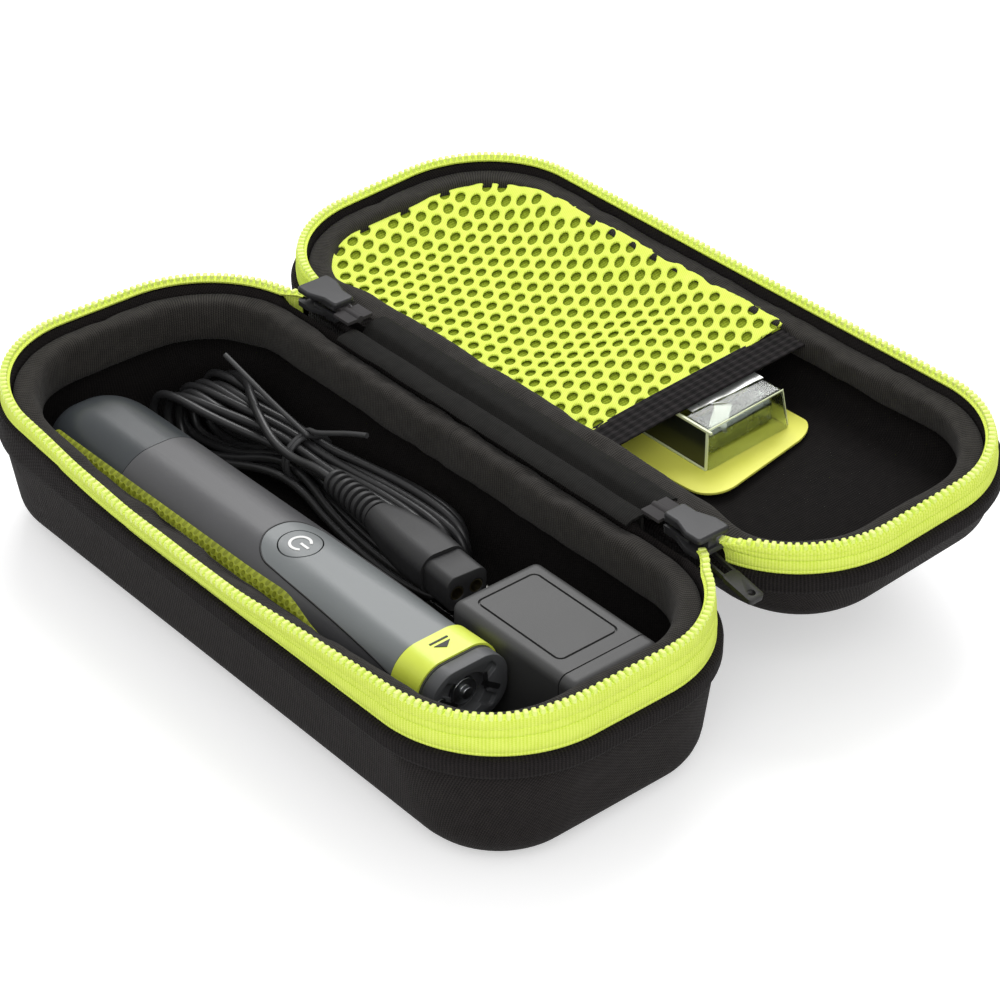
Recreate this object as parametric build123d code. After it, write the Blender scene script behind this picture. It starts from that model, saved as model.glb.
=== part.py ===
from build123d import *
import os
from math import cos, radians, sin

# Hard travel case for an electric shaver, lying open, with the kit that it carries: the shaver,
# its wall charger with a tied lead, and a spare blade in its card pack.
# Frame: origin at the centre of the base's flat underside, +X along the case, +Y towards the
# hinge, +Z up. All lengths are in millimetres.

# ---- case, driving dimensions ----
case_length = 210.0        # over the lip bands
case_width = 90.0          # over the lip bands
corner_r = 34.0            # plan radius of the lip bands
foot_setback_end = 6.7     # moulded shell's plan at its flat bottom, from the lip bands, at the ends
foot_setback_side = 8.1    # and along the sides
foot_corner_r = 20.0
lip_proud = 1.5            # lip band stands out of the shell by this
shell_wall = 2.6
collar_inset = 2.6         # upright collar that carries the zip tape, from the lip band's outline
collar_wall = 2.0
lining_wall = 1.0
glue = 0.1                 # glue line between bonded layers
cut_margin = 1.0           # cutters reach this far past what they cut
tape_wall = 0.9
tape_lean = 3.5            # degrees that the zip tape leans inwards
teeth_width = 1.8
tape_to_teeth = 1.6        # height of the row of teeth above the tape
pad_width = 7.0            # padded rim, seen from above
pad_round = 2.8

base_bottom_r = 12.0
base_lip_low = 28.0
base_lip_height = 5.5
base_teeth_top = 45.0
base_collar_top = 42.3
base_pad_top = 41.0

lid_bottom_r = 9.0
lid_lip_low = 11.0
lid_lip_height = 5.0
lid_teeth_top = 23.5
lid_collar_top = 20.8
lid_pad_top = 19.6

# ---- hinge ----
teeth_gap = 0.6            # between the two rows of teeth when the case is shut
hinge_setback = 1.0        # hinge line behind the lip bands
open_tilt = 3.5            # the open lid rises by this many degrees from level
fold_r = 1.0               # rolled edge of the hinge webbing, on the hinge line
fold_clear = 0.35
webbing = 0.9
flange_inset = 6.5         # inner edge of the webbing, from the lip band's outline
strip_room_left = 55.0     # from the case's ends to the ends of the hinge webbing
strip_room_right = 46.0

# ---- zip ends, sliders and pulls ----
tab_length = 6.0
tab_width = 8.0
end_gap = 0.4
chain_width = 3.2          # the joined teeth that the slider rides on
chain_height = 1.8
chain_length = 10.2
slider_length = 14.0
slider_width = 10.0
slider_tail_width = 6.6
slider_channel = 2.6       # clear height between the slider's plates
slider_plate = 1.4
slider_post = 1.5
slider_travel = 5.0
slider_flange = 0.7
slider_rail = 8.4
slider_corner_r = 1.2
bay_r = 6.4                # room cut in both halves for the folding slider
bail_drop = 2.6
bail_bar = 0.9
bail_width = 1.8
bail_length = 7.0
pull_pin_r = 0.7
pull_width = 4.6
pull_neck = 4.0
pull_neck_length = 12.0
pull_length = 22.0
pull_wall = 1.3
pull_corner_r = 1.2
pull_eye_r = 1.0
pull_droop = 12.0          # degrees below level

# ---- mesh pocket in the lid ----
pocket_end = 20.0          # X of the mesh's free edge
band_width = 10.0          # elastic band along that edge
band_wall = 1.6
mesh_wall = 1.0
pocket_drop = 1.6          # mesh lies this far below the padded rim's top

# ---- spare blade pack ----
card_length = 60.0
card_width = 38.0
card_wall = 0.7
card_corner_r = 7.0
card_end = 47.0            # X of the card's outer end
card_side = 4.0            # the card's middle, across the lid
blister_length = 34.0
blister_width = 28.0
blister_height = 11.3
blister_wall = 0.6
blister_end = 40.0
spare_length = 8.0
spare_width = 24.0
spare_height = 6.5
comb_pitch = 2.0
comb_slot = 0.8
comb_depth = 1.2
pack_lift = 0.4

# ---- shaver ----
shaver_length = 156.0
shaver_width = 29.0
shaver_height = 30.0
shaver_end_room = 4.3      # from the padded rim to the rounded end
shaver_y = -18.0           # Y of its axis at that end
shaver_yaw = 0.8           # degrees
dome_length = 20.0         # rounded end
dome_power = 2.3
dome_shares = (0.015, 0.08, 0.2, 0.4, 0.7, 1.05)   # lofted sections of the dome, and the first past it
neck_length = 60.0
neck_end_room = 9.0        # straight end of the neck, to the coupling end
neck_narrow = 6.5
neck_rise = 12.5           # underside of the neck, above the grip's
neck_drop = 0.8
section_round = 0.43       # corner radius of a section, as a share of its smaller side
station_step = 12.0
shaver_wall = 1.5
shaver_lift = 0.6          # above the lining
shell_seam = 0.2
cap_length = 39.0
grip_top = 10.0            # height of the seam between the dark shell and the soft back grip
grip_end_room = 30.0       # from the grip to the coupling end
plate_length = 56.0
plate_width = 18.0
plate_depth = 0.9
plate_flare = 2.0          # the plate is wider by this, each side, at the collar
plate_low = 19.0
plate_gap = 0.15
button_inset = 9.5         # from the face plate's round end
button_r = 5.2
button_gap = 0.35
button_depth = 2.2
button_travel = 0.6
stem_r = 1.4
switch_room = 4.0          # under the pressed button
collar_length = 9.0
collar_low = 18.0          # height of the collar's lower edge
collar_proud = 0.6
coupling_length = 3.8
coupling_gap = 0.6
recess_r = 5.6
recess_depth = 3.2
wing_length = 18.0
wing_width = 3.2
wing_tilt = 35.0
pin_r = 1.6
pin_disc_r = 3.4
pin_disc = 1.2
screw_r = 1.3
screw_head = 0.8
chassis_width = 18.0
chassis_wall = 1.5
chassis_top = 13.0
chassis_reach = 14.0       # of the tray, beyond the cell
chassis_end_room = 41.0
leg_inset = 5.0
leg_length = 30.0
leg_width = 4.0
battery_r = 6.4
battery_length = 44.0
battery_gap = 11.5         # from the button's middle
motor_r = 6.6
motor_length = 26.0
motor_gap = 23.2           # from the coupling plate
shaft_r = 1.0
board_wall = 1.2
board_length = 14.0
switch_side = 6.0
seat_gap = 0.3             # under parts that rest on the chassis or on the lining

# ---- charger ----
charger_end_room = 5.8     # from the padded rim
charger_length = 43.0
charger_width = 26.4
charger_y = 10.2
charger_height = 28.2
charger_lift = 0.6
charger_edge_r = 2.5
charger_wall = 2.0
cover_length = 5.5
cover_seam = 0.4
groove = 0.6
groove_inset = 4.0
groove_corner_r = 2.0
blade_spacing = 12.7
blade_wall = 1.5
blade_width = 6.35
blade_length = 16.0
blade_hole_r = 1.6
blade_hole_inset = 3.2
blade_embed = 3.0          # reach of the blades behind the housing's wall
transformer_side = 17.0

# ---- lead and connector ----
lead_r = 1.2
gland_r = 2.4
gland_lip = 0.3
arc_share = 0.45           # share of the shorter run that a bend's tangents take up
connector_yaw = -4.4
relief_length = 20.0
relief_core_r = 2.2
relief_ring_r = 3.3
relief_rings = 8
relief_taper = 0.08        # each ring is larger than the last by this
body_length = 27.0
body_width = 13.0
body_height = 11.2
body_round = 4.2
body_shoulder = 15.0       # length of the body's tapered part
tail_width = 8.0
tail_height = 7.6
tail_round = 3.6
nose_length = 9.5
nose_width = 11.4
nose_height = 9.4
nose_round = 2.4
socket_r = 1.5
socket_depth = 7.0
socket_spacing = 5.4
contact_wall = 0.25
connector_at = (-18.0, 11.5, 27.6)      # end of the strain relief

# Hank of the tied lead: station along X, centre Y, centre Z, width, height.
hank_stations = [
    (-91.0, 14.0, 15.0, 6.0, 6.0),
    (-85.0, 14.5, 15.5, 20.0, 17.0),
    (-67.0, 17.0, 15.0, 22.0, 19.0),
    (-44.0, 23.0, 16.5, 11.5, 12.0),
    (-20.0, 23.5, 14.5, 14.0, 17.0),
    (4.0, 23.8, 14.5, 14.0, 17.0),
    (15.0, 24.5, 15.0, 9.0, 11.0),
    (20.0, 25.0, 15.5, 4.0, 5.0),
]
tie_x = -44.0
tie_wall = 0.9
tie_width = 2.4
tie_wire_r = 0.7
tie_tail_right = (-24.0, 27.0, 31.0)
tie_tail_left = (-74.0, 20.0, 34.0)

# Route of the lead from the charger's gland to the hank, its X measured from the charger's left face,
# and from the hank to the connector.
lead_from_charger = [(-7.3, 14.5, 9.6), (-13.5, 15.2, 8.8), (-18.9, 18.8, 9.8), (-23.1, 23.0, 13.2),
                     (-27.5, 24.8, 15.6)]
lead_to_connector = [(-52.0, 16.0, 19.0), (-44.0, 13.6, 22.2), (-35.0, 12.8, 23.6), (-26.5, 12.4, 26.4),
                     connector_at]

# ---- derived places ----
hinge_y = case_width / 2 + hinge_setback
hinge_z = base_teeth_top + teeth_gap / 2
base_floor = shell_wall + glue + lining_wall
strip_left = strip_room_left - case_length / 2
strip_right = case_length / 2 - strip_room_right
slider_left_x = strip_left - end_gap - tab_length - end_gap - slider_length / 2
slider_right_x = strip_right + end_gap + tab_length + end_gap + slider_length / 2
bay_left = slider_left_x - slider_length / 2 - slider_travel - end_gap
bay_right = slider_right_x + slider_length / 2 + slider_travel + end_gap
pad_inset = collar_inset + collar_wall + glue
well_inset = pad_inset + pad_width            # inner face of the padded rims
shaver_end = shaver_end_room + well_inset - case_length / 2
coupling_start = shaver_length - coupling_length
collar_start = coupling_start - coupling_gap - collar_length
plate_end = collar_start - coupling_gap
plate_start = plate_end - plate_length
button_x = plate_start + button_inset
neck_end = shaver_length - neck_end_room
neck_start = neck_end - neck_length
grip_end = shaver_length - grip_end_room
battery_end = button_x - battery_gap
battery_start = battery_end - battery_length
motor_end = coupling_start - motor_gap
motor_start = motor_end - motor_length
charger_right = case_length / 2 - well_inset - charger_end_room
charger_left = charger_right - charger_length


def save(name, shape):
    """Write one node; a list of solids becomes one compound."""
    if isinstance(shape, (list, tuple, ShapeList)):
        shape = Compound(children=list(shape))
    export_step(shape, f"parts/{name}.step")
    print(f"{name}: {len(shape.solids())} solid(s), {shape.volume:.0f} mm3")


def across(x, y, z, towards=1):
    """Plane across the X direction, its normal along +X or -X and its own x along +Y."""
    return Plane(origin=(x, y, z), x_dir=(0, 1, 0), z_dir=(towards, 0, 0))


# ---------------------------------------------------------------- case halves
def outline(inset):
    return RectangleRounded(case_length - 2 * inset, case_width - 2 * inset, corner_r - inset)


def slab(inset, low, high, lean=0.0):
    return Pos(0, 0, low) * extrude(outline(inset), high - low, taper=lean)


def ring(outer, inner, low, high, lean=0.0):
    return slab(outer, low, high, lean) - slab(inner, low, high, lean)


def tub(inset, lip_low, bottom_r):
    """Tapered, round-bottomed block of the moulded shell, its skin moved in by inset."""
    foot = RectangleRounded(case_length - 2 * (foot_setback_end + inset),
                            case_width - 2 * (foot_setback_side + inset), foot_corner_r - inset)
    block = loft([Pos(0, 0, inset) * foot, Pos(0, 0, lip_low) * outline(lip_proud + inset)], ruled=True)
    bottom_edges = block.faces().sort_by(Axis.Z)[0].edges()
    return fillet(bottom_edges, bottom_r - inset)


def hinge_bays():
    """Two short cylinders on the hinge line where the folding sliders need room."""
    bays = []
    for low, high in ((bay_left, strip_left), (strip_right, bay_right)):
        axis = across(low, hinge_y, hinge_z)
        bays.append(axis * extrude(Circle(bay_r), high - low))
    return bays


def back_gap(low, high):
    """Block over the stretch along the hinge that has no zip."""
    return Pos((bay_left + bay_right) / 2, case_width / 2, (low + high) / 2) * Box(
        bay_right - bay_left, 2 * corner_r, high - low + 2 * cut_margin)


def shell(lip_low, bottom_r, collar_top):
    body = tub(0, lip_low, bottom_r) + slab(collar_inset, lip_low - shell_wall, collar_top)
    body -= tub(shell_wall, lip_low, bottom_r)
    return body - slab(collar_inset + collar_wall, lip_low - 2 * shell_wall, collar_top + cut_margin)


def lining(lip_low, bottom_r):
    outer = shell_wall + glue
    return tub(outer, lip_low, bottom_r) - tub(outer + lining_wall, lip_low, bottom_r)


def padded_rim(lip_low, top):
    pad = ring(pad_inset, well_inset, lip_low + glue, top)
    edges = pad.faces().sort_by(Axis.Z)[-1].edges()
    edges += pad.faces().sort_by(Axis.Z)[0].inner_wires()[0].edges()
    return fillet(edges, pad_round)


def zip_tape(lip_top, teeth_top):
    outer = collar_inset - glue - tape_wall
    top = teeth_top - tape_to_teeth
    tape = slab(outer, lip_top + glue, top, tape_lean) - slab(collar_inset - glue, lip_top, top)
    return tape - back_gap(lip_top, top)


def zip_teeth(teeth_top):
    low = teeth_top - tape_to_teeth + glue
    outer = collar_inset - glue
    teeth = ring(outer, outer + teeth_width, low, teeth_top)
    return teeth - back_gap(low, teeth_top)


def webbing_section(collar_top, lip_top, teeth_top, to_axis):
    """Hinge webbing: a skirt outside the collar, a flange over it and a tongue to the hinge line."""
    outside = case_width / 2 - collar_inset + glue
    top = collar_top + glue + webbing
    inner = case_width / 2 - flange_inset
    skirt = Pos(outside + webbing / 2, (lip_top + glue + top) / 2) * Rectangle(
        webbing, top - lip_top - glue)
    flange = Pos((inner + outside + webbing) / 2, top - webbing / 2) * Rectangle(
        outside + webbing - inner, webbing)
    tongue = make_face(Polyline((outside + webbing / 2, top - webbing), (outside + webbing, top - webbing),
                                (to_axis[0] + fold_r / 2, to_axis[1] - fold_r / 2),
                                (to_axis[0] - fold_r / 2, to_axis[1] + fold_r / 2),
                                (outside + webbing / 2, top), close=True))
    return skirt + flange + tongue


def hinge_strip(collar_top, lip_top, teeth_top, with_fold):
    to_axis = (hinge_y, teeth_top + teeth_gap / 2)
    section = webbing_section(collar_top, lip_top, teeth_top, to_axis)
    fold = Pos(*to_axis) * Circle(fold_r if with_fold else fold_r + fold_clear)
    section = section + fold if with_fold else section - fold
    start = across(strip_left, 0, 0)
    return start * extrude(section, strip_right - strip_left)


def case_half(lip_low, lip_height, bottom_r, collar_top, pad_top, teeth_top, with_fold):
    """All pieces of one half, open side up, standing at z = 0."""
    lip_top = lip_low + lip_height
    pieces = {
        "shell": shell(lip_low, bottom_r, collar_top),
        "lip_band": ring(0, collar_inset - glue, lip_low + glue, lip_top),
        "lining": lining(lip_low, bottom_r),
        "padded_rim": padded_rim(lip_low, pad_top),
        "zip_tape": zip_tape(lip_top, teeth_top),
        "zip_teeth": zip_teeth(teeth_top),
    }
    lower = teeth_top + teeth_gap / 2 - hinge_z
    for name in ("shell", "padded_rim"):
        for bay in hinge_bays():
            pieces[name] -= Pos(0, 0, lower) * bay
    pieces["hinge_strip"] = hinge_strip(collar_top, lip_top, teeth_top, with_fold)
    return pieces


def lid_place():
    """Where the lid's own upright frame stands at rest, laid open behind the base."""
    level = Pos(0, 2 * hinge_y, hinge_z - teeth_gap / 2 - lid_teeth_top)
    return Pos(0, hinge_y, hinge_z) * Rot(open_tilt, 0, 0) * Pos(0, -hinge_y, -hinge_z) * level


# ---------------------------------------------------------------- pocket and blade pack, in the lid's frame
def pocket_sheet(low, high, x_low, x_high, inset):
    sheet = slab(inset, low, high)
    return sheet & Pos((x_low + x_high) / 2, 0, (low + high) / 2) * Box(
        x_high - x_low, case_width, high - low)


def mesh_pocket():
    top = lid_pad_top - pocket_drop
    return pocket_sheet(top - mesh_wall, top, -case_length / 2, pocket_end, well_inset + glue)


def pocket_band():
    top = lid_pad_top - pocket_drop + (band_wall - mesh_wall) / 2
    return pocket_sheet(top - band_wall, top, pocket_end + glue, pocket_end + band_width, well_inset + glue)


def pack_floor():
    return shell_wall + glue + lining_wall + pack_lift


def blade_card():
    card = RectangleRounded(card_length, card_width, card_corner_r)
    return Pos(card_end - card_length / 2, card_side, pack_floor()) * extrude(card, card_wall)


def blade_blister():
    low = pack_floor() + card_wall + glue
    outer = Pos(blister_end - blister_length / 2, card_side, low) * extrude(
        RectangleRounded(blister_length, blister_width, 2 * blister_wall), blister_height)
    inner = Pos(blister_end - blister_length / 2, card_side, low) * extrude(
        RectangleRounded(blister_length - 2 * blister_wall, blister_width - 2 * blister_wall, blister_wall),
        blister_height - blister_wall)
    return outer - inner


def spare_blade():
    """Comb-edged blade head on its bow, standing on the card inside the blister."""
    low = pack_floor() + card_wall + 2 * glue
    x = blister_end - blister_wall - spare_length
    block = Pos(x, card_side, low + spare_height / 2) * Box(spare_length, spare_width, spare_height)
    block = fillet(block.edges().filter_by(Axis.Y), spare_height / 5)
    comb = Pos(x, card_side, low + spare_height) * Box(spare_length / 3, spare_width, spare_height / 3)
    notches = GridLocations(0, comb_pitch, 1, int(spare_width / comb_pitch) - 1)
    slots = [Pos(x, card_side, low + spare_height + spare_height / 8) * place
             * Box(spare_length, comb_slot, comb_depth) for place in notches]
    return block + (comb - slots)


# ---------------------------------------------------------------- zip ends
def at_hinge(x, outward):
    """Frame on the hinge line at x, its own +X pointing outwards along the case."""
    turn = 0 if outward > 0 else 180
    return Pos(x, hinge_y, hinge_z) * Rot(0, 0, turn)


def zip_end(x_strip, outward):
    """Sewn tab and the last joined teeth, which fold on the hinge line."""
    tab = Pos(end_gap + tab_length / 2, 0, 0) * Box(tab_length, tab_width, webbing)
    barrel = across(end_gap, 0, 0) * extrude(Circle(fold_r), tab_length)
    chain = Pos(end_gap + tab_length + chain_length / 2, 0, 0) * Box(
        chain_length, chain_width, chain_height)
    return at_hinge(x_strip, outward) * (tab + barrel + chain)


def slider_plate_outline():
    half = slider_length / 2
    shoulder = half / 3
    face = make_face(Polyline((-half, -slider_tail_width / 2), (-shoulder, -slider_tail_width / 2),
                              (shoulder, -slider_width / 2), (half, -slider_width / 2),
                              (half, slider_width / 2), (shoulder, slider_width / 2),
                              (-shoulder, slider_tail_width / 2), (-half, slider_tail_width / 2),
                              close=True))
    return fillet(face.vertices(), slider_corner_r)


def zip_slider(x_mid, outward):
    """Two plates joined by a post at the wide mouth, with a bail under the outer plate."""
    half_channel = slider_channel / 2
    inner = Pos(0, 0, half_channel) * extrude(slider_plate_outline(), slider_plate)
    inner = fillet(inner.faces().sort_by(Axis.Z)[-1].edges(), slider_plate / 2)
    outer = Pos(0, 0, -half_channel - slider_plate) * extrude(slider_plate_outline(), slider_plate)
    post = Pos(slider_length / 2 - slider_post, 0, 0) * Box(slider_post, slider_width / 4, slider_channel)
    rails = [Pos(-slider_length / 6, side * (slider_tail_width / 2 - slider_flange / 2), height)
             * Box(slider_rail, slider_flange, slider_flange)
             for side in (-1, 1)
             for height in (half_channel - slider_flange / 2, -half_channel + slider_flange / 2)]
    under = -half_channel - slider_plate
    legs = [Pos(side * (bail_length - bail_bar) / 2, 0, under - bail_drop / 2)
            * Box(bail_bar, bail_width, bail_drop) for side in (-1, 1)]
    bar = Pos(0, 0, under - bail_drop + bail_bar / 2) * Box(bail_length, bail_width, bail_bar)
    return at_hinge(x_mid, outward) * (inner + outer + post + rails + legs + bar)


def pull_axis_z():
    return -slider_channel / 2 - slider_plate - (bail_drop - bail_bar) / 2


def zip_pull(x_mid, outward):
    """Pull tab: a cross pin in the bail, two arms past it and a grip."""
    pin = Plane(origin=(0, -pull_neck / 2, 0), x_dir=(1, 0, 0), z_dir=(0, 1, 0)) * extrude(
        Circle(pull_pin_r), pull_neck)
    arm_width = (pull_neck - bail_width) / 2 - end_gap
    arm_length = pull_neck_length + pull_corner_r
    arms = [Pos(arm_length / 2, side * (pull_neck - arm_width) / 2, 0)
            * Box(arm_length, arm_width, pull_wall) for side in (-1, 1)]
    grip_length = pull_length - pull_neck_length
    grip = Pos(pull_neck_length + grip_length / 2, 0, 0) * Box(grip_length, pull_width, pull_wall)
    grip = fillet(grip.edges().filter_by(Axis.Z), pull_corner_r)
    eye = Pos(pull_length - pull_width / 2, 0, 0) * Cylinder(pull_eye_r, pull_wall)
    tab = Rot(0, pull_droop, 0) * (pin + arms + (grip - eye))
    return at_hinge(x_mid, outward) * Pos(0, 0, pull_axis_z()) * tab


# ---------------------------------------------------------------- shaver, along +X from its rounded end
def handle_section(x):
    """Width, low and high of the handle at x: a domed end, a straight grip and a slimmer, raised neck."""
    dome = (1 - (1 - min(x / dome_length, 1)) ** dome_power) ** (1 / dome_power)
    t = min(max((x - neck_start) / (neck_end - neck_start), 0), 1)
    neck = t * t * (3 - 2 * t)
    middle = shaver_height / 2
    return (shaver_width * dome - neck_narrow * neck, middle - middle * dome + neck_rise * neck,
            middle + middle * dome - neck_drop * neck)


def handle_stations():
    dome = [dome_length * share for share in dome_shares]
    count = round((shaver_length - dome[-1]) / station_step)
    step = (shaver_length - dome[-1]) / count
    return dome + [dome[-1] + step * (i + 1) for i in range(count)]


def handle(inset, start=0.0, end=None):
    """Lofted handle with its skin moved in by inset (out, if negative)."""
    sections = []
    for x in handle_stations():
        wide, low, high = handle_section(x)
        w, h = wide - 2 * inset, high - low - 2 * inset
        if min(w, h) < abs(inset):
            continue
        plane = across(x, 0, (low + high) / 2)
        sections.append(plane * RectangleRounded(w, h, section_round * min(w, h)))
    body = loft(sections)
    return body if end is None else body & between(start, end)


def between(start, end, low=-shaver_height, high=2 * shaver_height):
    return Pos((start + end) / 2, 0, (low + high) / 2) * Box(end - start, 3 * shaver_width, high - low)


def plate_prism(grow):
    """Upright prism of the face plate's outline: a round end, widening towards the collar."""
    r = plate_width / 2 + grow
    wide = plate_width / 2 + plate_flare + grow
    x0 = plate_start + plate_width / 2
    outline_face = make_face(
        Polyline((x0, r), (plate_end + grow, wide), (plate_end + grow, -wide), (x0, -r))
        + ThreePointArc((x0, -r), (x0 - r, 0), (x0, r)))
    return Pos(0, 0, plate_low) * extrude(outline_face, shaver_height)


def button_hole(r):
    return Pos(button_x, 0, chassis_top) * extrude(Circle(r), shaver_height)


def shaver_pieces():
    outer = handle(0)
    skin = outer - handle(shaver_wall, shaver_wall, coupling_start)
    upper_zone = between(cap_length, coupling_start - shell_seam, grip_top + shell_seam)
    neck_zone = between(grip_end + shell_seam, coupling_start - shell_seam)
    plate_pocket = plate_prism(plate_gap) - handle(plate_depth + glue)
    collar_zone = between(collar_start, collar_start + collar_length, collar_low)
    pieces = {
        "shaver_end_cap": skin & between(0, cap_length - shell_seam, grip_top + shell_seam),
        "shaver_back_grip": skin & between(0, grip_end, -shaver_height, grip_top),
        "shaver_upper_shell": (skin & (upper_zone + neck_zone)) - plate_pocket
        - button_hole(button_r + button_gap),
        "shaver_face_plate": ((outer - handle(plate_depth)) & plate_prism(0))
        - button_hole(button_r + button_gap),
        "shaver_collar": (handle(-collar_proud) - handle(-glue)) & collar_zone,
    }
    head = (outer & button_hole(button_r)) - handle(button_depth)
    stem_low = switch_top() + button_travel + plate_gap
    stem_high = shaver_height - button_depth / 2
    stem = Pos(button_x, 0, stem_low) * extrude(Circle(stem_r), stem_high - stem_low)
    pieces["power_button"] = head + stem
    pieces.update(coupling_pieces(outer))
    pieces.update(inner_pieces())
    return pieces


def coupling_centre():
    return (handle_section(shaver_length)[1] + handle_section(shaver_length)[2]) / 2


def coupling_pieces(outer):
    """End plate with a round recess and two slanted slots, the drive pin and a small screw."""
    end = across(shaver_length, 0, coupling_centre(), -1)
    plate = outer & between(coupling_start, shaver_length + cut_margin)
    plate -= end * extrude(Circle(recess_r), recess_depth)
    for tilt in (wing_tilt, 180 - wing_tilt):
        slot = Rot(0, 0, tilt) * RectangleRounded(wing_length, wing_width, wing_width / 3)
        plate -= end * extrude(slot, recess_depth / 3)
    screw_at = Pos(-recess_r - 2 * screw_r, -recess_r / 4, 0)
    plate -= end * screw_at * extrude(Circle(screw_r + glue), screw_head)
    screw = end * screw_at * (Pos(0, 0, glue) * extrude(Circle(screw_r), screw_head - 2 * glue)
                              - Box(2 * screw_r, screw_r / 3, screw_head))
    floor = Pos(0, 0, recess_depth - seat_gap - pin_disc)
    pin = end * (floor * extrude(Circle(pin_disc_r), pin_disc)
                 + Pos(0, 0, pin_disc / 3) * extrude(Circle(pin_r), recess_depth - seat_gap - pin_disc / 3))
    return {"coupling_plate": plate, "drive_pin": pin, "coupling_screw": screw}


def switch_top():
    return shaver_height - button_depth - button_travel - switch_room


def rod(r, start, end, z):
    return across(start, 0, z) * extrude(Circle(r), end - start)


def inner_pieces():
    """Chassis tray with the cell, the motor and the switch board standing on it."""
    deck = chassis_top
    chassis_start = battery_start - chassis_reach
    chassis_end = shaver_length - chassis_end_room
    tray = Pos((chassis_start + chassis_end) / 2, 0, deck - chassis_wall / 2) * Box(
        chassis_end - chassis_start, chassis_width, chassis_wall)
    ribs = [Pos(x, 0, deck - chassis_wall - (deck - grip_top) / 2) * Box(
        chassis_wall, chassis_width - leg_width, deck - grip_top) for x in (battery_start, battery_end)]
    foot = shaver_wall + seat_gap
    legs = Pos(battery_start + leg_inset + leg_length / 2, 0, (deck - chassis_wall + foot) / 2) * Box(
        leg_length, leg_width, deck - chassis_wall - foot)
    battery = rod(battery_r, battery_start, battery_end, deck + glue + battery_r)
    motor = rod(motor_r, motor_start, motor_end, deck + glue + motor_r) + rod(
        shaft_r, motor_end, coupling_start - seat_gap, deck + glue + motor_r)
    board_x = button_x - (board_length - 2 * button_r) / 4
    board = Pos(board_x, 0, deck + glue + board_wall / 2) * Box(board_length, chassis_width - leg_width / 2, board_wall)
    rise = switch_top() - deck - glue - board_wall
    switch = Pos(button_x, 0, deck + glue + board_wall + rise / 2) * Box(switch_side, switch_side, rise)
    return {"chassis": tray + ribs + legs, "battery_cell": battery, "shaver_motor": motor,
            "circuit_board": board + switch}


# ---------------------------------------------------------------- charger
def charger_block(inset, x_low, x_high):
    low = base_floor + charger_lift
    block = Pos((charger_left + charger_right) / 2, charger_y, low + charger_height / 2) * Box(
        charger_right - charger_left, charger_width, charger_height)
    block = fillet(block.edges(), charger_edge_r)
    if inset:
        block = Pos((charger_left + charger_right) / 2, charger_y, low + charger_height / 2) * Box(
            charger_right - charger_left - 2 * inset, charger_width - 2 * inset, charger_height - 2 * inset)
    return block & Pos((x_low + x_high) / 2, charger_y, low + charger_height / 2) * Box(
        x_high - x_low, 2 * charger_width, 2 * charger_height)


def charger_pieces():
    seam = charger_right - cover_length
    low = base_floor + charger_lift
    top = low + charger_height
    mid_z = low + charger_height / 2
    housing = charger_block(0, charger_left, seam) - charger_block(charger_wall, charger_left, seam)
    cover = charger_block(0, seam + cover_seam, charger_right)
    room_y = charger_width - 2 * charger_wall - seat_gap
    room_z = charger_height - 2 * charger_wall - seat_gap
    lug = Pos(seam, charger_y, mid_z) * Box(2 * cover_length, room_y, room_z)
    cover += lug & Pos(seam, charger_y, mid_z) * Box(cover_length, charger_width, charger_height)
    panel_x = (charger_left + groove_inset + seam - groove_inset) / 2
    panel_l = seam - charger_left - 2 * groove_inset
    panel_w = charger_width - 2 * groove_inset
    frame = RectangleRounded(panel_l, panel_w, groove_corner_r) - RectangleRounded(
        panel_l - 2 * groove, panel_w - 2 * groove, groove_corner_r - groove)
    housing -= Pos(panel_x, charger_y, top - groove) * extrude(frame, groove)
    blade_z = mid_z
    blades = []
    for side in (-1, 1):
        y = charger_y + side * blade_spacing / 2
        reach = blade_length + charger_wall + blade_embed
        tip_x = charger_left - blade_length
        blade = Pos(tip_x + reach / 2, y, blade_z) * Box(reach, blade_wall, blade_width)
        tip = blade.edges().filter_by(Axis.Y).sort_by(Axis.X)[:2]
        blade = chamfer(tip, blade_width / 5)
        hole = Pos(tip_x + blade_hole_inset, y, blade_z) * Rot(90, 0, 0) * Cylinder(
            blade_hole_r, 2 * blade_wall)
        blades.append(blade - hole)
        housing -= Pos(charger_left + charger_wall / 2, y, blade_z) * Box(
            2 * charger_wall, blade_wall + 2 * glue, blade_width + 2 * glue)
    inner_left = charger_left + charger_wall + blade_embed + seat_gap
    board = Pos(inner_left + board_wall / 2, charger_y, mid_z) * Box(
        board_wall, room_y, room_z)
    core_x = inner_left + board_wall + glue + transformer_side / 2
    core = Pos(core_x, charger_y, low + charger_wall + seat_gap + transformer_side / 2) * Box(
        transformer_side, transformer_side, transformer_side)
    return {"charger_housing": housing, "charger_end_cover": cover, "charger_blades": blades,
            "charger_board": board, "transformer": core}


def charger_lead():
    return [(charger_left + x, y, z) for x, y, z in lead_from_charger]


def lead_gland():
    """Tapered strain relief where the lead leaves the charger's face."""
    x, y, z = charger_lead()[0]
    start = across(charger_left, y, z, -1)
    end = across(x, y, z, -1)
    return loft([start * Circle(gland_r), end * Circle(lead_r + gland_lip)])


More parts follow.
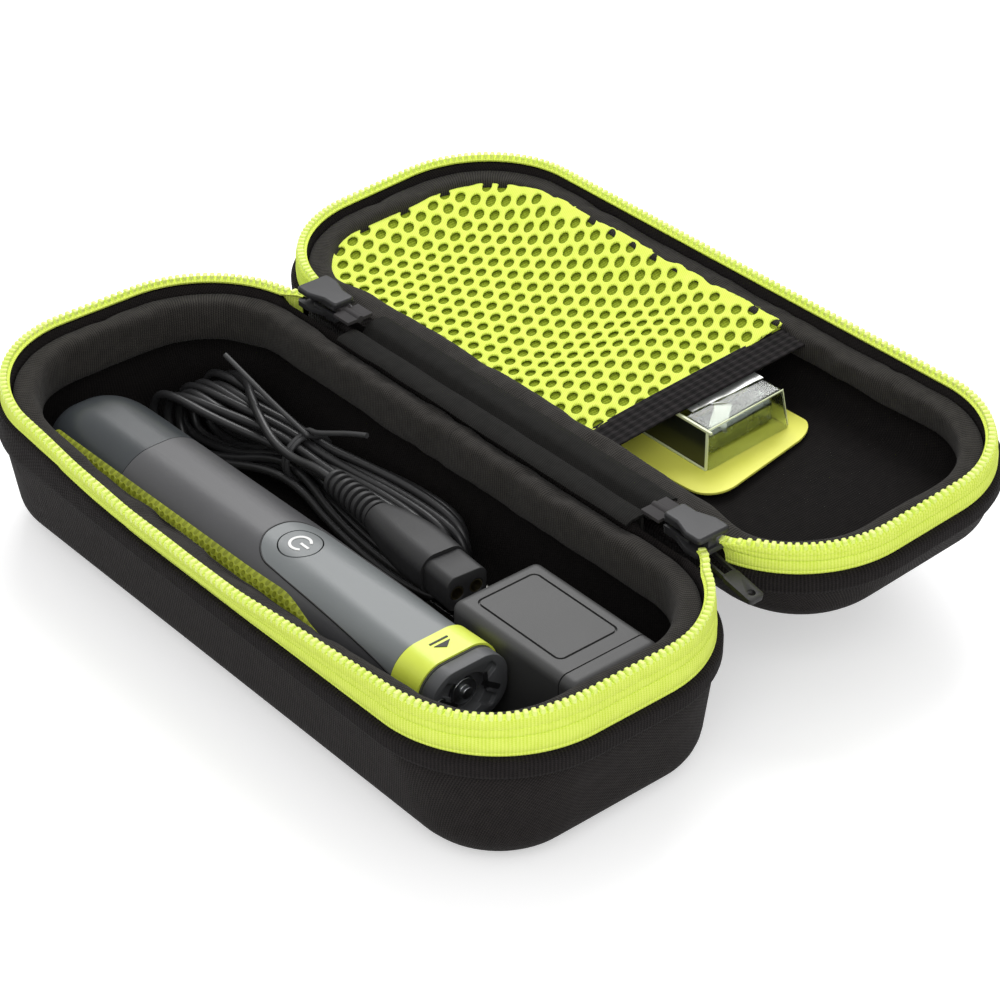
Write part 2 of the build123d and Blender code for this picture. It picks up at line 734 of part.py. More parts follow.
# ---------------------------------------------------------------- lead
def lead_tube(name, points):
    """Round tube along straight runs joined by the largest tangent arcs that the runs allow."""
    vectors = [Vector(*p) for p in points]
    radii = []
    for a, b, c in zip(vectors, vectors[1:], vectors[2:]):
        turn = (b - a).get_angle(c - b)
        shorter = min((b - a).length, (c - b).length)
        radii.append(arc_share * shorter / (sin(radians(turn / 2)) / cos(radians(turn / 2))))
    print(f"{name}: arc radii {[round(r, 1) for r in radii]}")
    path = FilletPolyline(*vectors, radius=radii)
    return sweep(Plane(origin=path @ 0, z_dir=path % 0) * Circle(lead_r), path)


def hank_solid(grow):
    sections = []
    for x, y, z, wide, high in hank_stations:
        plane = across(x, y, z)
        sections.append(plane * Ellipse(wide / 2 + grow, high / 2 + grow))
    return loft(sections)


def twist_tie():
    """Coated wire round the hank's waist, with its two free ends."""
    x, y, z, wide, high = hank_stations[3]
    band = (hank_solid(glue + tie_wall) - hank_solid(glue)) & Pos(tie_x, y, z) * Box(
        tie_width, 4 * wide, 4 * high)
    knot = Vector(tie_x, y, z + high / 2 + tie_wall)
    tails = []
    for tip in (tie_tail_right, tie_tail_left):
        run = Vector(*tip) - knot
        tails.append(Plane(origin=knot, z_dir=run) * extrude(Circle(tie_wire_r), run.length))
    return band + tails


# ---------------------------------------------------------------- connector
def connector_pieces():
    """Small two-pin appliance connector, along its own +X from the strain relief."""
    place = Pos(*connector_at) * Rot(0, 0, connector_yaw)
    step = relief_length / relief_rings
    core = rod(relief_core_r, 0, relief_length, 0) - rod(lead_r, 0, 2 * step, 0)
    rings = [rod(relief_ring_r + i * relief_taper, i * step + step / 4, i * step + 3 * step / 4, 0)
             for i in range(relief_rings)]
    body_start = relief_length + glue
    tail = across(body_start, 0, 0)
    mid = across(body_start + body_shoulder, 0, 0)
    front = across(body_start + body_length, 0, 0)
    body = loft([tail * RectangleRounded(tail_width, tail_height, tail_round),
                 mid * RectangleRounded(body_width, body_height, body_round),
                 front * RectangleRounded(body_width, body_height, body_round)])
    nose_start = body_start + body_length + glue
    nose = across(nose_start, 0, 0) * extrude(
        RectangleRounded(nose_width, nose_height, nose_round), nose_length)
    sleeves = []
    for side in (-1, 1):
        mouth = across(nose_start + nose_length, side * socket_spacing / 2, 0, -1)
        nose -= mouth * extrude(Circle(socket_r + contact_wall + glue), socket_depth)
        wall = Circle(socket_r + contact_wall) - Circle(socket_r)
        sleeves.append(mouth * Pos(0, 0, glue) * extrude(wall, socket_depth - 2 * glue))
    pieces = {"connector_relief": core + rings, "connector_body": body, "connector_nose": nose,
              "connector_contacts": sleeves}
    return {name: [place * s for s in shape] if isinstance(shape, list) else place * shape
            for name, shape in pieces.items()}


# ---------------------------------------------------------------- build
def build():
    os.makedirs("parts", exist_ok=True)
    base = case_half(base_lip_low, base_lip_height, base_bottom_r, base_collar_top, base_pad_top,
                     base_teeth_top, True)
    lid = case_half(lid_lip_low, lid_lip_height, lid_bottom_r, lid_collar_top, lid_pad_top,
                    lid_teeth_top, False)
    for name, shape in base.items():
        save(f"base_{name}", shape)
    lid = {name: mirror(shape, about=Plane.XZ) for name, shape in lid.items()}
    lid.update({"mesh_pocket": mesh_pocket(), "pocket_band": pocket_band()})
    for name, shape in lid.items():
        save(f"lid_{name}", lid_place() * shape)
    for name, shape in {"blade_card": blade_card(), "blade_blister": blade_blister(),
                        "spare_blade": spare_blade()}.items():
        save(name, lid_place() * shape)
    for side, x_strip, x_mid, outward in (("left", strip_left, slider_left_x, -1),
                                          ("right", strip_right, slider_right_x, 1)):
        save(f"zip_end_{side}", zip_end(x_strip, outward))
        save(f"zip_slider_{side}", zip_slider(x_mid, outward))
        save(f"zip_pull_{side}", zip_pull(x_mid, outward))
    shaver_place = Pos(shaver_end, shaver_y, base_floor + shaver_lift) * Rot(0, 0, shaver_yaw)
    for name, shape in shaver_pieces().items():
        save(name, shaver_place * shape)
    for name, shape in charger_pieces().items():
        save(name, shape)
    save("lead_gland", lead_gland())
    save("lead_tube_charger", lead_tube("lead_tube_charger", charger_lead()))
    save("lead_tube_connector", lead_tube("lead_tube_connector", lead_to_connector))
    save("lead_hank", hank_solid(0))
    save("twist_tie", twist_tie())
    for name, shape in connector_pieces().items():
        save(name, shape)


build()
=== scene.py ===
"""Looks of a hard travel case for an electric shaver, lying open with its kit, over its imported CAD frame.

Lengths are in millimetres in each piece's own mesh code and are brought to metres as the piece is linked.
Names that end in _m are in metres. The case stands on z = 0, runs along X and has its hinge towards +Y.
"""

import logging
import math
from dataclasses import dataclass, field
from enum import Enum
from functools import cache
from typing import Callable, Iterable, Optional, Sequence, Union

import bmesh
import bpy
from mathutils import Matrix, Vector, noise


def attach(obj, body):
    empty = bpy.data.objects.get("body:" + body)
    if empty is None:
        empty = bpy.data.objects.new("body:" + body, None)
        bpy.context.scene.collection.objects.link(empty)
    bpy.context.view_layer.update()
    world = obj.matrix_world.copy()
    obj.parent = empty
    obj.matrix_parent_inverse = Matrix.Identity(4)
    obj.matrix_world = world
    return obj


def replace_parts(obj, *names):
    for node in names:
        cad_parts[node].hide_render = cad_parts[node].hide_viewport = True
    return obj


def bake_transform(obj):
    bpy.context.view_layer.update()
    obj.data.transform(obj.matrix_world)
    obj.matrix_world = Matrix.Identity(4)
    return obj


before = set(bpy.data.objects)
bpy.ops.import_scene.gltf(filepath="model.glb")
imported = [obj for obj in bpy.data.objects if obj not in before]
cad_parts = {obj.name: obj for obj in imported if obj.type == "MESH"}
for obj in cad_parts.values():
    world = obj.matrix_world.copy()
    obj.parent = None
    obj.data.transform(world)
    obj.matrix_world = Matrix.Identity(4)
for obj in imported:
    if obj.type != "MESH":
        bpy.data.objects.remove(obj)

LOG = logging.getLogger("shaver_case")
MM = 0.001
CLOTH_UV = "cloth"
ROW = "row"
MERGE_MM, MERGE_M = 1e-4, 1e-6            # points nearer than this are one, in mm and in metres
FLAT_DEG = 0.5                            # faces that turn by less than this become one
HINGE_Y, HINGE_Z = 46.0, 45.3
TILT_DEG = 3.5
HINGE_SIDE_Y = 20.0                       # points past this lie on the hinge side
SLIDER_SWEEP = 6.6                        # radius that a folding slider clears round the hinge line
BACK_LEFT, BACK_RIGHT = -76.2, 85.2       # ends of the stretch along the hinge that has no zip
STRIP_LEFT, STRIP_RIGHT = -50.0, 59.0     # ends of the hinge webbing

Mesh = bmesh.types.BMesh
Socket = bpy.types.NodeSocket
Feed = Union[Socket, float]


# ---------------------------------------------------------------- shader tools
def linear(code: str) -> tuple[float, float, float, float]:
    """Turn an sRGB hex code into a linear colour.

    Args:
        code: six hex digits.

    Returns:
        Red, green, blue and an alpha of 1.
    """
    parts = [int(code[i:i + 2], 16) / 255 for i in (0, 2, 4)]
    return (*[c / 12.92 if c <= 0.04045 else ((c + 0.055) / 1.055) ** 2.4 for c in parts], 1.0)


class Graph:
    """Adds shader nodes to one tree and joins them."""

    def __init__(self, tree: bpy.types.NodeTree) -> None:
        """Start on a tree.

        Args:
            tree: node tree of a material or a group.
        """
        self.tree = tree

    def node(self, kind: str, **settings: object) -> bpy.types.Node:
        """Add a node.

        Args:
            kind: the node's class name.
            settings: its attributes.

        Returns:
            The new node.
        """
        made = self.tree.nodes.new(kind)
        for name, value in settings.items():
            setattr(made, name, value)
        return made

    def feed(self, socket: Socket, value: Feed) -> None:
        """Set an input to a number, or link an output to it.

        Args:
            socket: the input.
            value: a number, or another node's output.
        """
        if isinstance(value, bpy.types.NodeSocket):
            self.tree.links.new(value, socket)
        else:
            socket.default_value = value

    def math(self, operation: str, first: Feed, second: Feed = 0.0, third: Feed = 0.0) -> Socket:
        """Add a Math node.

        Args:
            operation: its operation.
            first: first number.
            second: second number.
            third: third number.

        Returns:
            Its output.
        """
        made = self.node("ShaderNodeMath", operation=operation)
        for socket, value in zip(made.inputs, (first, second, third)):
            self.feed(socket, value)
        return made.outputs[0]

    def mix(self, factor: Feed, low: str, high: str) -> Socket:
        """Mix two colours.

        Args:
            factor: share of the second colour.
            low: hex code of the first colour.
            high: hex code of the second colour.

        Returns:
            The mixed colour.
        """
        made = self.node("ShaderNodeMix", data_type="RGBA")
        self.feed(made.inputs["Factor"], factor)
        made.inputs[6].default_value = linear(low)
        made.inputs[7].default_value = linear(high)
        return made.outputs[2]

    def spread(self, value: Socket, low: float, high: float) -> Socket:
        """Map a mask from 0 to 1 onto a range.

        Args:
            value: the mask.
            low: result at 0.
            high: result at 1.

        Returns:
            The mapped value.
        """
        return self.math("MULTIPLY_ADD", value, high - low, low)


def set_inputs(node: bpy.types.Node, values: dict[str, object]) -> None:
    """Set the inputs of a node by their names."""
    for title, value in values.items():
        node.inputs[title].default_value = value


def new_group(name: str, inputs: dict[str, object], outputs: dict[str, str]) -> tuple[Graph, dict, dict]:
    """Start a shader node group.

    Args:
        name: the group's name.
        inputs: default value of each input; None makes a vector.
        outputs: socket type of each output.

    Returns:
        Its graph, its inputs by name and its outputs by name.
    """
    tree = bpy.data.node_groups.new(name, "ShaderNodeTree")
    for title, default in inputs.items():
        kind = "NodeSocketVector" if default is None else "NodeSocketFloat"
        socket = tree.interface.new_socket(title, in_out="INPUT", socket_type=kind)
        if default is not None:
            socket.default_value = default
    for title, kind in outputs.items():
        tree.interface.new_socket(title, in_out="OUTPUT", socket_type=kind)
    graph = Graph(tree)
    entry, leave = graph.node("NodeGroupInput"), graph.node("NodeGroupOutput")
    return graph, dict(entry.outputs.items()), dict(leave.inputs.items())


@cache
def thread_weave() -> bpy.types.NodeTree:
    """Build the woven or knitted thread pattern, once.

    Returns:
        Group with the inputs Vector (mm), Pitch U, Pitch V, Slant and Unevenness, and the outputs
        Height and Shade.
    """
    graph, given, out = new_group(
        "thread weave",
        {"Vector": None, "Pitch U": 1.0, "Pitch V": 1.0, "Slant": 0.0, "Unevenness": 0.4},
        {"Height": "NodeSocketFloat", "Shade": "NodeSocketFloat"})
    waver = graph.node("ShaderNodeTexNoise", noise_dimensions="3D")
    graph.feed(waver.inputs["Vector"], given["Vector"])
    set_inputs(waver, {"Scale": 0.35, "Detail": 3.0})
    split = graph.node("ShaderNodeSeparateXYZ")
    graph.feed(split.inputs[0], given["Vector"])
    drift = graph.math("MULTIPLY", waver.outputs["Fac"], given["Unevenness"])
    leaning = graph.math("MULTIPLY_ADD", split.outputs["Y"], given["Slant"], split.outputs["X"])
    across = graph.math("ADD", graph.math("DIVIDE", leaning, given["Pitch U"]), drift)
    along = graph.math("ADD", graph.math("DIVIDE", split.outputs["Y"], given["Pitch V"]), drift)
    warp = graph.math("SINE", graph.math("MULTIPLY", across, 2 * math.pi))
    shift = graph.math("MULTIPLY", graph.math("ROUND", across), math.pi)
    weft = graph.math("SINE", graph.math("MULTIPLY_ADD", along, 2 * math.pi, shift))
    both = graph.math("MULTIPLY_ADD", weft, 0.2, graph.math("MULTIPLY_ADD", warp, 0.3, 0.5))
    graph.feed(out["Height"], both)
    blotch = graph.math("MULTIPLY_ADD", waver.outputs["Fac"], 0.5, -0.25)
    graph.feed(out["Shade"], graph.math("ADD", graph.math("MULTIPLY_ADD", both, 0.9, 0.05), blotch))
    return graph.tree


@cache
def surface_wear() -> bpy.types.NodeTree:
    """Build the fine grain and the handling marks of moulded pieces, once.

    Returns:
        Group with the inputs Vector (mm), Grain and Marks, both sizes in mm, and the outputs Height and Mask.
    """
    graph, given, out = new_group("surface wear", {"Vector": None, "Grain": 0.3, "Marks": 14.0},
                                  {"Height": "NodeSocketFloat", "Mask": "NodeSocketFloat"})
    for size, detail, title in (("Grain", 2.0, "Height"), ("Marks", 5.0, "Mask")):
        cloud = graph.node("ShaderNodeTexNoise", noise_dimensions="3D")
        graph.feed(cloud.inputs["Vector"], given["Vector"])
        graph.feed(cloud.inputs["Scale"], graph.math("DIVIDE", 1.0, given[size]))
        cloud.inputs["Detail"].default_value = detail
        graph.feed(out[title], cloud.outputs["Fac"])
    return graph.tree


@cache
def dimple_rows() -> bpy.types.NodeTree:
    """Build staggered rows of round dimples, once.

    Returns:
        Group with the inputs Vector (mm), Pitch and Size, and the output Mask, 1 inside a dimple.
    """
    graph, given, out = new_group("dimple rows", {"Vector": None, "Pitch": 3.0, "Size": 0.3},
                                  {"Mask": "NodeSocketFloat"})
    split = graph.node("ShaderNodeSeparateXYZ")
    graph.feed(split.inputs[0], given["Vector"])
    near: list[Socket] = []
    for start in (0.0, 0.5):
        squares = []
        for axis in ("X", "Z"):
            step = graph.math("ADD", graph.math("DIVIDE", split.outputs[axis], given["Pitch"]), start)
            off = graph.math("SUBTRACT", graph.math("FRACT", step), 0.5)
            squares.append(graph.math("MULTIPLY", off, off))
        near.append(graph.math("SQRT", graph.math("ADD", *squares)))
    nearest = graph.math("MINIMUM", *near)
    inside = graph.math("DIVIDE", graph.math("SUBTRACT", given["Size"], nearest), 0.1)
    clamp = graph.node("ShaderNodeClamp")
    graph.feed(clamp.inputs[0], inside)
    graph.feed(out["Mask"], clamp.outputs[0])
    return graph.tree


class Coords(Enum):
    """Where a pattern takes its coordinates from."""

    CLOTH = "cloth"
    OBJECT = "object"


def start_material(name: str) -> tuple[bpy.types.Material, Graph, bpy.types.Node]:
    """Make an empty node material.

    Args:
        name: its name.

    Returns:
        The material, its graph and its Principled BSDF.
    """
    material = bpy.data.materials.new(name)
    material.use_nodes = True
    graph = Graph(material.node_tree)
    return material, graph, material.node_tree.nodes["Principled BSDF"]


def millimetres(graph: Graph, coords: Coords, stretch: Sequence[float] = (1, 1, 1)) -> Socket:
    """Add coordinates in millimetres.

    Args:
        graph: the material's graph.
        coords: the piece's cloth map, or its object coordinates.
        stretch: factor on each axis.

    Returns:
        A vector output.
    """
    scale = graph.node("ShaderNodeMapping")
    if coords is Coords.CLOTH:
        graph.feed(scale.inputs["Vector"], graph.node("ShaderNodeUVMap", uv_map=CLOTH_UV).outputs["UV"])
        size = 1.0
    else:
        graph.feed(scale.inputs["Vector"], graph.node("ShaderNodeTexCoord").outputs["Object"])
        size = 1 / MM
    scale.inputs["Scale"].default_value = [size * s for s in stretch]
    return scale.outputs["Vector"]


def add_bump(graph: Graph, shader: bpy.types.Node, height: Socket, depth: float) -> None:
    """Feed a shader's normal from a height.

    Args:
        graph: the material's graph.
        shader: its shader.
        height: height from 0 to 1.
        depth: the height at 1, in mm.
    """
    bump = graph.node("ShaderNodeBump")
    bump.inputs["Distance"].default_value = depth * MM
    graph.feed(bump.inputs["Height"], height)
    graph.feed(shader.inputs["Normal"], bump.outputs["Normal"])


@dataclass(frozen=True)
class Fabric:
    """A woven, knitted or ribbed cloth."""

    name: str
    shade: str
    light: str
    pitch: tuple[float, float] = (0.8, 0.8)
    slant: float = 0.0
    depth: float = 0.2
    roughness: float = 0.85
    sheen: float = 0.0
    unevenness: float = 0.4
    coords: Coords = Coords.CLOTH

    @cache
    def material(self) -> bpy.types.Material:
        """Return the cloth's material, made once."""
        material, graph, shader = start_material(self.name)
        weave = graph.node("ShaderNodeGroup", node_tree=thread_weave())
        graph.feed(weave.inputs["Vector"], millimetres(graph, self.coords))
        set_inputs(weave, {"Pitch U": self.pitch[0], "Pitch V": self.pitch[1], "Slant": self.slant,
                           "Unevenness": self.unevenness})
        graph.feed(shader.inputs["Base Color"], graph.mix(weave.outputs["Shade"], self.shade, self.light))
        graph.feed(shader.inputs["Roughness"],
                   graph.spread(weave.outputs["Shade"], self.roughness + 0.08, self.roughness - 0.08))
        set_inputs(shader, {"Sheen Weight": self.sheen, "Sheen Roughness": 0.45,
                            "Specular IOR Level": 0.15})
        add_bump(graph, shader, weave.outputs["Height"], self.depth)
        return material


@dataclass(frozen=True)
class Moulded:
    """A moulded plastic or rubber, with fine grain and handling marks."""

    name: str
    shade: str
    light: str
    roughness: tuple[float, float] = (0.4, 0.55)
    grain: float = 0.3
    depth: float = 0.02
    marks: float = 14.0
    coat: float = 0.0
    metallic: float = 0.0
    dimples: float = 0.0
    stretch: tuple[float, float, float] = (1, 1, 1)

    @cache
    def material(self) -> bpy.types.Material:
        """Return the plastic's material, made once."""
        material, graph, shader = start_material(self.name)
        place = millimetres(graph, Coords.OBJECT, self.stretch)
        wear = graph.node("ShaderNodeGroup", node_tree=surface_wear())
        graph.feed(wear.inputs["Vector"], place)
        set_inputs(wear, {"Grain": self.grain, "Marks": self.marks})
        tone, height = wear.outputs["Mask"], wear.outputs["Height"]
        if self.dimples:
            rows = graph.node("ShaderNodeGroup", node_tree=dimple_rows())
            graph.feed(rows.inputs["Vector"], place)
            set_inputs(rows, {"Pitch": self.dimples, "Size": 0.3})
            # painted shade: the dimples' hollows are also painted darker, besides their bump
            tone = graph.math("MULTIPLY_ADD", rows.outputs["Mask"], -0.4, tone)
            height = graph.math("MULTIPLY_ADD", rows.outputs["Mask"], -6.0, height)
        graph.feed(shader.inputs["Base Color"], graph.mix(tone, self.shade, self.light))
        graph.feed(shader.inputs["Roughness"], graph.spread(wear.outputs["Mask"], *self.roughness))
        set_inputs(shader, {"Coat Weight": self.coat, "Coat Roughness": 0.12, "Metallic": self.metallic})
        add_bump(graph, shader, height, self.depth)
        return material


@dataclass(frozen=True)
class Clear:
    """A clear, slightly smoked plastic."""

    name: str
    tint: str
    light: str
    roughness: tuple[float, float] = (0.04, 0.14)

    @cache
    def material(self) -> bpy.types.Material:
        """Return the clear plastic's material, made once."""
        material, graph, shader = start_material(self.name)
        wear = graph.node("ShaderNodeGroup", node_tree=surface_wear())
        graph.feed(wear.inputs["Vector"], millimetres(graph, Coords.OBJECT))
        set_inputs(wear, {"Marks": 6.0})
        graph.feed(shader.inputs["Base Color"], graph.mix(wear.outputs["Mask"], self.tint, self.light))
        graph.feed(shader.inputs["Roughness"], graph.spread(wear.outputs["Mask"], *self.roughness))
        set_inputs(shader, {"Transmission Weight": 1.0, "IOR": 1.46})
        add_bump(graph, shader, wear.outputs["Height"], 0.01)
        return material


Finish = Union[Fabric, Moulded, Clear]

SHELL_CLOTH = Fabric("shell cloth", "0d0b0b", "292524", (0.75, 0.75), 0.55, 0.2, 0.8)
BAND_CLOTH = Fabric("ribbed band", "0d0b0b", "262222", (0.9, 0.5), 0.0, 0.25, 0.85, 0.0, 0.2)
RIM_JERSEY = Fabric("rim jersey", "111010", "44413d", (0.62, 0.5), 0.0, 0.16, 0.9, 0.06, 0.9)
LINING_JERSEY = Fabric("lining jersey", "0a0909", "1d1a19", (0.7, 0.6), 0.0, 0.15, 0.92, 0.0, 0.6)
# dark cloth, darkened further as painted shade for the valley between the rims
WEBBING_PAINTED_SHADE = Fabric("hinge webbing with painted shade", "0b0b0a", "22211f", (0.6, 0.45), 0.3, 0.1, 0.8, 0.0, 0.4)
TAPE_CLOTH = Fabric("lime tape cloth", "cfe644", "f2ff80", (0.8, 0.55), 0.0, 0.08, 0.8, 0.0, 0.3)
MESH_CLOTH = Fabric("lime mesh thread", "d2e846", "f4ff7e", (0.6, 0.45), 0.6, 0.08, 0.8, 0.0, 0.5,
                    Coords.OBJECT)
# lime cloth painted dark olive: painted shade for the backing under the mesh
PAINTED_SHADE_BACKING = Fabric("lime backing with painted shade", "6f7f12", "9fb030", (0.9, 0.9), 0.0, 0.12, 0.9, 0.0)
ZIP_END_CLOTH = Moulded("zip end cloth", "232122", "3b3839", (0.7, 0.85), 0.5, 0.08, 5.0)
ELASTIC = Fabric("black elastic", "0b0b0b", "231f20", (3.0, 0.6), 0.0, 0.1, 0.75, 0.0, 0.2)
TOOTH_PLASTIC = Moulded("lime tooth plastic", "d8ee58", "f8ffa4", (0.35, 0.5), 0.4, 0.03)
SLIDER_METAL = Moulded("slider metal", "1f1f20", "343436", (0.38, 0.52), 0.25, 0.02, 10.0, 0.0, 0.2)
PULL_RUBBER = Moulded("pull rubber", "0e0d0e", "1b191a", (0.5, 0.65), 0.3, 0.03)
CARD_PLASTIC = Moulded("lime card", "ebee52", "fcfb78", (0.45, 0.6), 0.6, 0.01, 20.0)
BLISTER_CLEAR = Clear("clear blister", "dfe6dc", "f4f8f2")
# partly the blister's folded rim, painted near white as highlights on the box's edges
BLISTER_EDGE_HIGHLIGHT = Moulded("blister edge painted highlight", "c3cc9c", "eaf0cc", (0.15, 0.3), 0.4, 0.01, 8.0, 0.4)
# painted reflection: dark finish for the sheet that stands for the black lining seen in the clear blister's
# side
BLISTER_PAINTED_REFLECTION = Moulded("painted dark reflection", "0c0f0e", "1c201f", (0.25, 0.4), 0.5, 0.01, 9.0, 0.5)
FOIL = Moulded("silver foil", "b4b6b4", "e2e4e0", (0.2, 0.4), 1.6, 0.05, 4.0, 0.0, 0.7)
BLADE_STEEL = Moulded("blade steel", "8e9294", "c9cccd", (0.2, 0.34), 0.2, 0.01, 6.0, 0.0, 1.0)
CAP_SLATE = Moulded("slate cap", "303437", "3f4346", (0.26, 0.36), 0.25, 0.01, 25.0)
SHELL_GREY = Moulded("shaver shell grey", "474749", "555557", (0.34, 0.44), 0.25, 0.01, 25.0)
PLATE_GREY = Moulded("face plate grey", "6b6f70", "7a7e7f", (0.3, 0.42), 0.3, 0.01, 25.0)
BUTTON_GREY = Moulded("button grey", "696d6e", "787c7d", (0.3, 0.42), 0.3, 0.01, 25.0)
# its dimple rows carry painted shade in their hollows
GRIP_LIME = Moulded("lime grip", "7c8412", "bcc738", (0.5, 0.65), 0.4, 0.03, 16.0, 0.0, 0.0, 2.3)
COLLAR_LIME = Moulded("lime collar", "cfe040", "e8f45c", (0.32, 0.45), 0.3, 0.01, 10.0, 0.15)
COUPLING_GREY = Moulded("coupling grey", "434446", "535456", (0.4, 0.55), 0.3, 0.02)
INNER_BLACK = Moulded("inner black", "0e0e0f", "1b1b1c", (0.45, 0.6), 0.3, 0.03)
SCREW_STEEL = Moulded("screw steel", "9c9fa2", "c6c8ca", (0.25, 0.4), 0.15, 0.01, 3.0, 0.0, 1.0)
CELL_WRAP = Moulded("cell wrap", "1e4a6b", "2b6488", (0.3, 0.45), 0.4, 0.01)
MOTOR_CAN = Moulded("motor can", "8b8e91", "aaadb0", (0.3, 0.45), 0.2, 0.01, 8.0, 0.0, 1.0)
BOARD_GREEN = Moulded("board green", "14502c", "1f6b3d", (0.35, 0.5), 0.5, 0.02)
CORE_STEEL = Moulded("core steel", "47484a", "5e5f61", (0.4, 0.6), 0.3, 0.03, 8.0, 0.0, 0.8, 0.0, (1, 1, 6))
CHARGER_BLACK = Moulded("charger plastic", "363636", "474747", (0.42, 0.56), 0.22, 0.03, 20.0)
CONNECTOR_BLACK = Moulded("connector rubber", "1a1a1b", "2a2a2b", (0.45, 0.6), 0.25, 0.03, 9.0)
LEAD_BLACK = Moulded("lead sheath", "1f1f20", "303031", (0.28, 0.4), 0.2, 0.02, 12.0)
TIE_BLACK = Moulded("tie sheath", "303031", "444445", (0.4, 0.55), 0.2, 0.02, 6.0)
BLADE_NICKEL = Moulded("nickel blades", "b9b9b6", "dad9d5", (0.18, 0.3), 0.2, 0.01, 5.0, 0.0, 1.0)
CONTACT_BRASS = Moulded("contact brass", "8f8462", "b5aa86", (0.25, 0.4), 0.2, 0.01, 3.0, 0.0, 1.0)
ICON_WHITE = Moulded("icon white", "dcdcda", "f2f2f0", (0.4, 0.5), 0.4, 0.01, 4.0)


# ---------------------------------------------------------------- mesh tools
LID_LEVEL = Matrix.Translation((0, 2 * HINGE_Y, 21.5))
LID_PLACE = (Matrix.Scale(MM, 4) @ Matrix.Translation((0, HINGE_Y, HINGE_Z))
             @ Matrix.Rotation(math.radians(TILT_DEG), 4, "X")
             @ Matrix.Translation((0, -HINGE_Y, -HINGE_Z)) @ LID_LEVEL)
BASE_PLACE = Matrix.Scale(MM, 4)


def smooth_step(t: float) -> float:
    """Ease a share from 0 to 1, clamped."""
    t = min(max(t, 0.0), 1.0)
    return t * t * (3 - 2 * t)


def ramp(value: float, start: float, width: float) -> float:
    """Ease from 0 at a start to 1 a width further on; a negative width runs the other way."""
    return smooth_step((value - start) / width)


def grid_skin(columns: int, rows: int, at: Callable[[int, int], Vector], round_columns: bool = False,
              round_rows: bool = False, capped: bool = True) -> Mesh:
    """Lay a grid over a run of sections, join its seams and close its ends.

    Args:
        columns: number of sections.
        rows: points in a section.
        at: place of a section's point, in mm.
        round_columns: whether the last section meets the first.
        round_rows: whether a section is closed.
        capped: whether open ends are filled.

    Returns:
        A mesh with the cloth map in mm.
    """
    bm = bmesh.new()
    wide, high = columns + round_columns, rows + round_rows
    bmesh.ops.create_grid(bm, x_segments=wide - 1, y_segments=high - 1, size=1.0)
    bm.verts.ensure_lookup_table()
    points = [[at(i % columns, j % rows) for i in range(wide)] for j in range(high)]
    middle = high // 2
    run, rise = [0.0], [0.0]
    for i in range(1, wide):
        run.append(run[-1] + (points[middle][i] - points[middle][i - 1]).length)
    for j in range(1, high):
        rise.append(rise[-1] + (points[j][0] - points[j - 1][0]).length)
    row = bm.verts.layers.int.new(ROW)
    layer = bm.loops.layers.uv.new(CLOTH_UV)
    bm.verts.ensure_lookup_table()
    for face in bm.faces:
        for loop in face.loops:
            loop[layer].uv = (run[loop.vert.index % wide], rise[loop.vert.index // wide])
    for vert in bm.verts:
        vert.co = points[vert.index // wide][vert.index % wide]
        vert[row] = vert.index // wide % rows
    bmesh.ops.remove_doubles(bm, verts=bm.verts, dist=MERGE_MM)
    if capped:
        open_edges = [e for e in bm.edges if e.is_boundary]
        for face in bmesh.ops.holes_fill(bm, edges=open_edges, sides=0)["faces"]:
            for loop in face.loops:
                loop[layer].uv = (loop.vert.co.x, loop.vert.co.y)
    bmesh.ops.recalc_face_normals(bm, faces=bm.faces)
    return bm


def link_piece(name: str, bm: Mesh, finish: Finish, body: Optional[str], slot: str,
               place: Matrix = BASE_PLACE, sharp_deg: float = 50.0) -> bpy.types.Object:
    """Turn a mesh into a piece of the object.

    Args:
        name: the piece's name.
        bm: its mesh in mm, freed here.
        finish: its finish.
        body: the CAD body that it rides on, or None.
        slot: the record's material slot; not used.
        place: from the mesh's own millimetres to the row frame in metres.
        sharp_deg: edges that turn by more than this stay sharp.

    Returns:
        The new object.
    """
    bmesh.ops.transform(bm, matrix=place, verts=bm.verts)
    if place.determinant() < 0:
        bmesh.ops.reverse_faces(bm, faces=bm.faces)
    mesh = bpy.data.meshes.new(name)
    bm.to_mesh(mesh)
    bm.free()
    mesh.shade_smooth()
    mesh.set_sharp_from_angle(angle=math.radians(sharp_deg))
    mesh.materials.append(finish.material())
    piece = bpy.data.objects.new(name, mesh)
    bpy.context.scene.collection.objects.link(piece)
    if body:
        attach(piece, body)
    LOG.info("%s: %d faces", name, len(mesh.polygons))
    return piece


def round_edges(bm: Mesh, edges: Iterable[bmesh.types.BMEdge], width: float, segments: int = 2,
                clamped: bool = True) -> None:
    """Round some of a mesh's edges.

    Args:
        bm: the mesh.
        edges: the edges.
        width: width of the rounding, in the mesh's own unit.
        segments: faces across the rounding.
        clamped: whether a rounding stops where it would run into another.
    """
    bmesh.ops.bevel(bm, geom=list(edges), offset=width, offset_type="OFFSET", segments=segments,
                    profile=0.5, affect="EDGES", clamp_overlap=clamped, material=-1)


def add_block(bm: Mesh, centre: Sequence[float], size: Sequence[float],
              turn: Matrix = Matrix.Identity(4)) -> None:
    """Add a block to a mesh.

    Args:
        bm: the mesh.
        centre: the block's centre.
        size: its three sides.
        turn: its rotation.
    """
    bmesh.ops.create_cube(bm, size=1.0,
                          matrix=Matrix.Translation(centre) @ turn @ Matrix.Diagonal((*size, 1)))


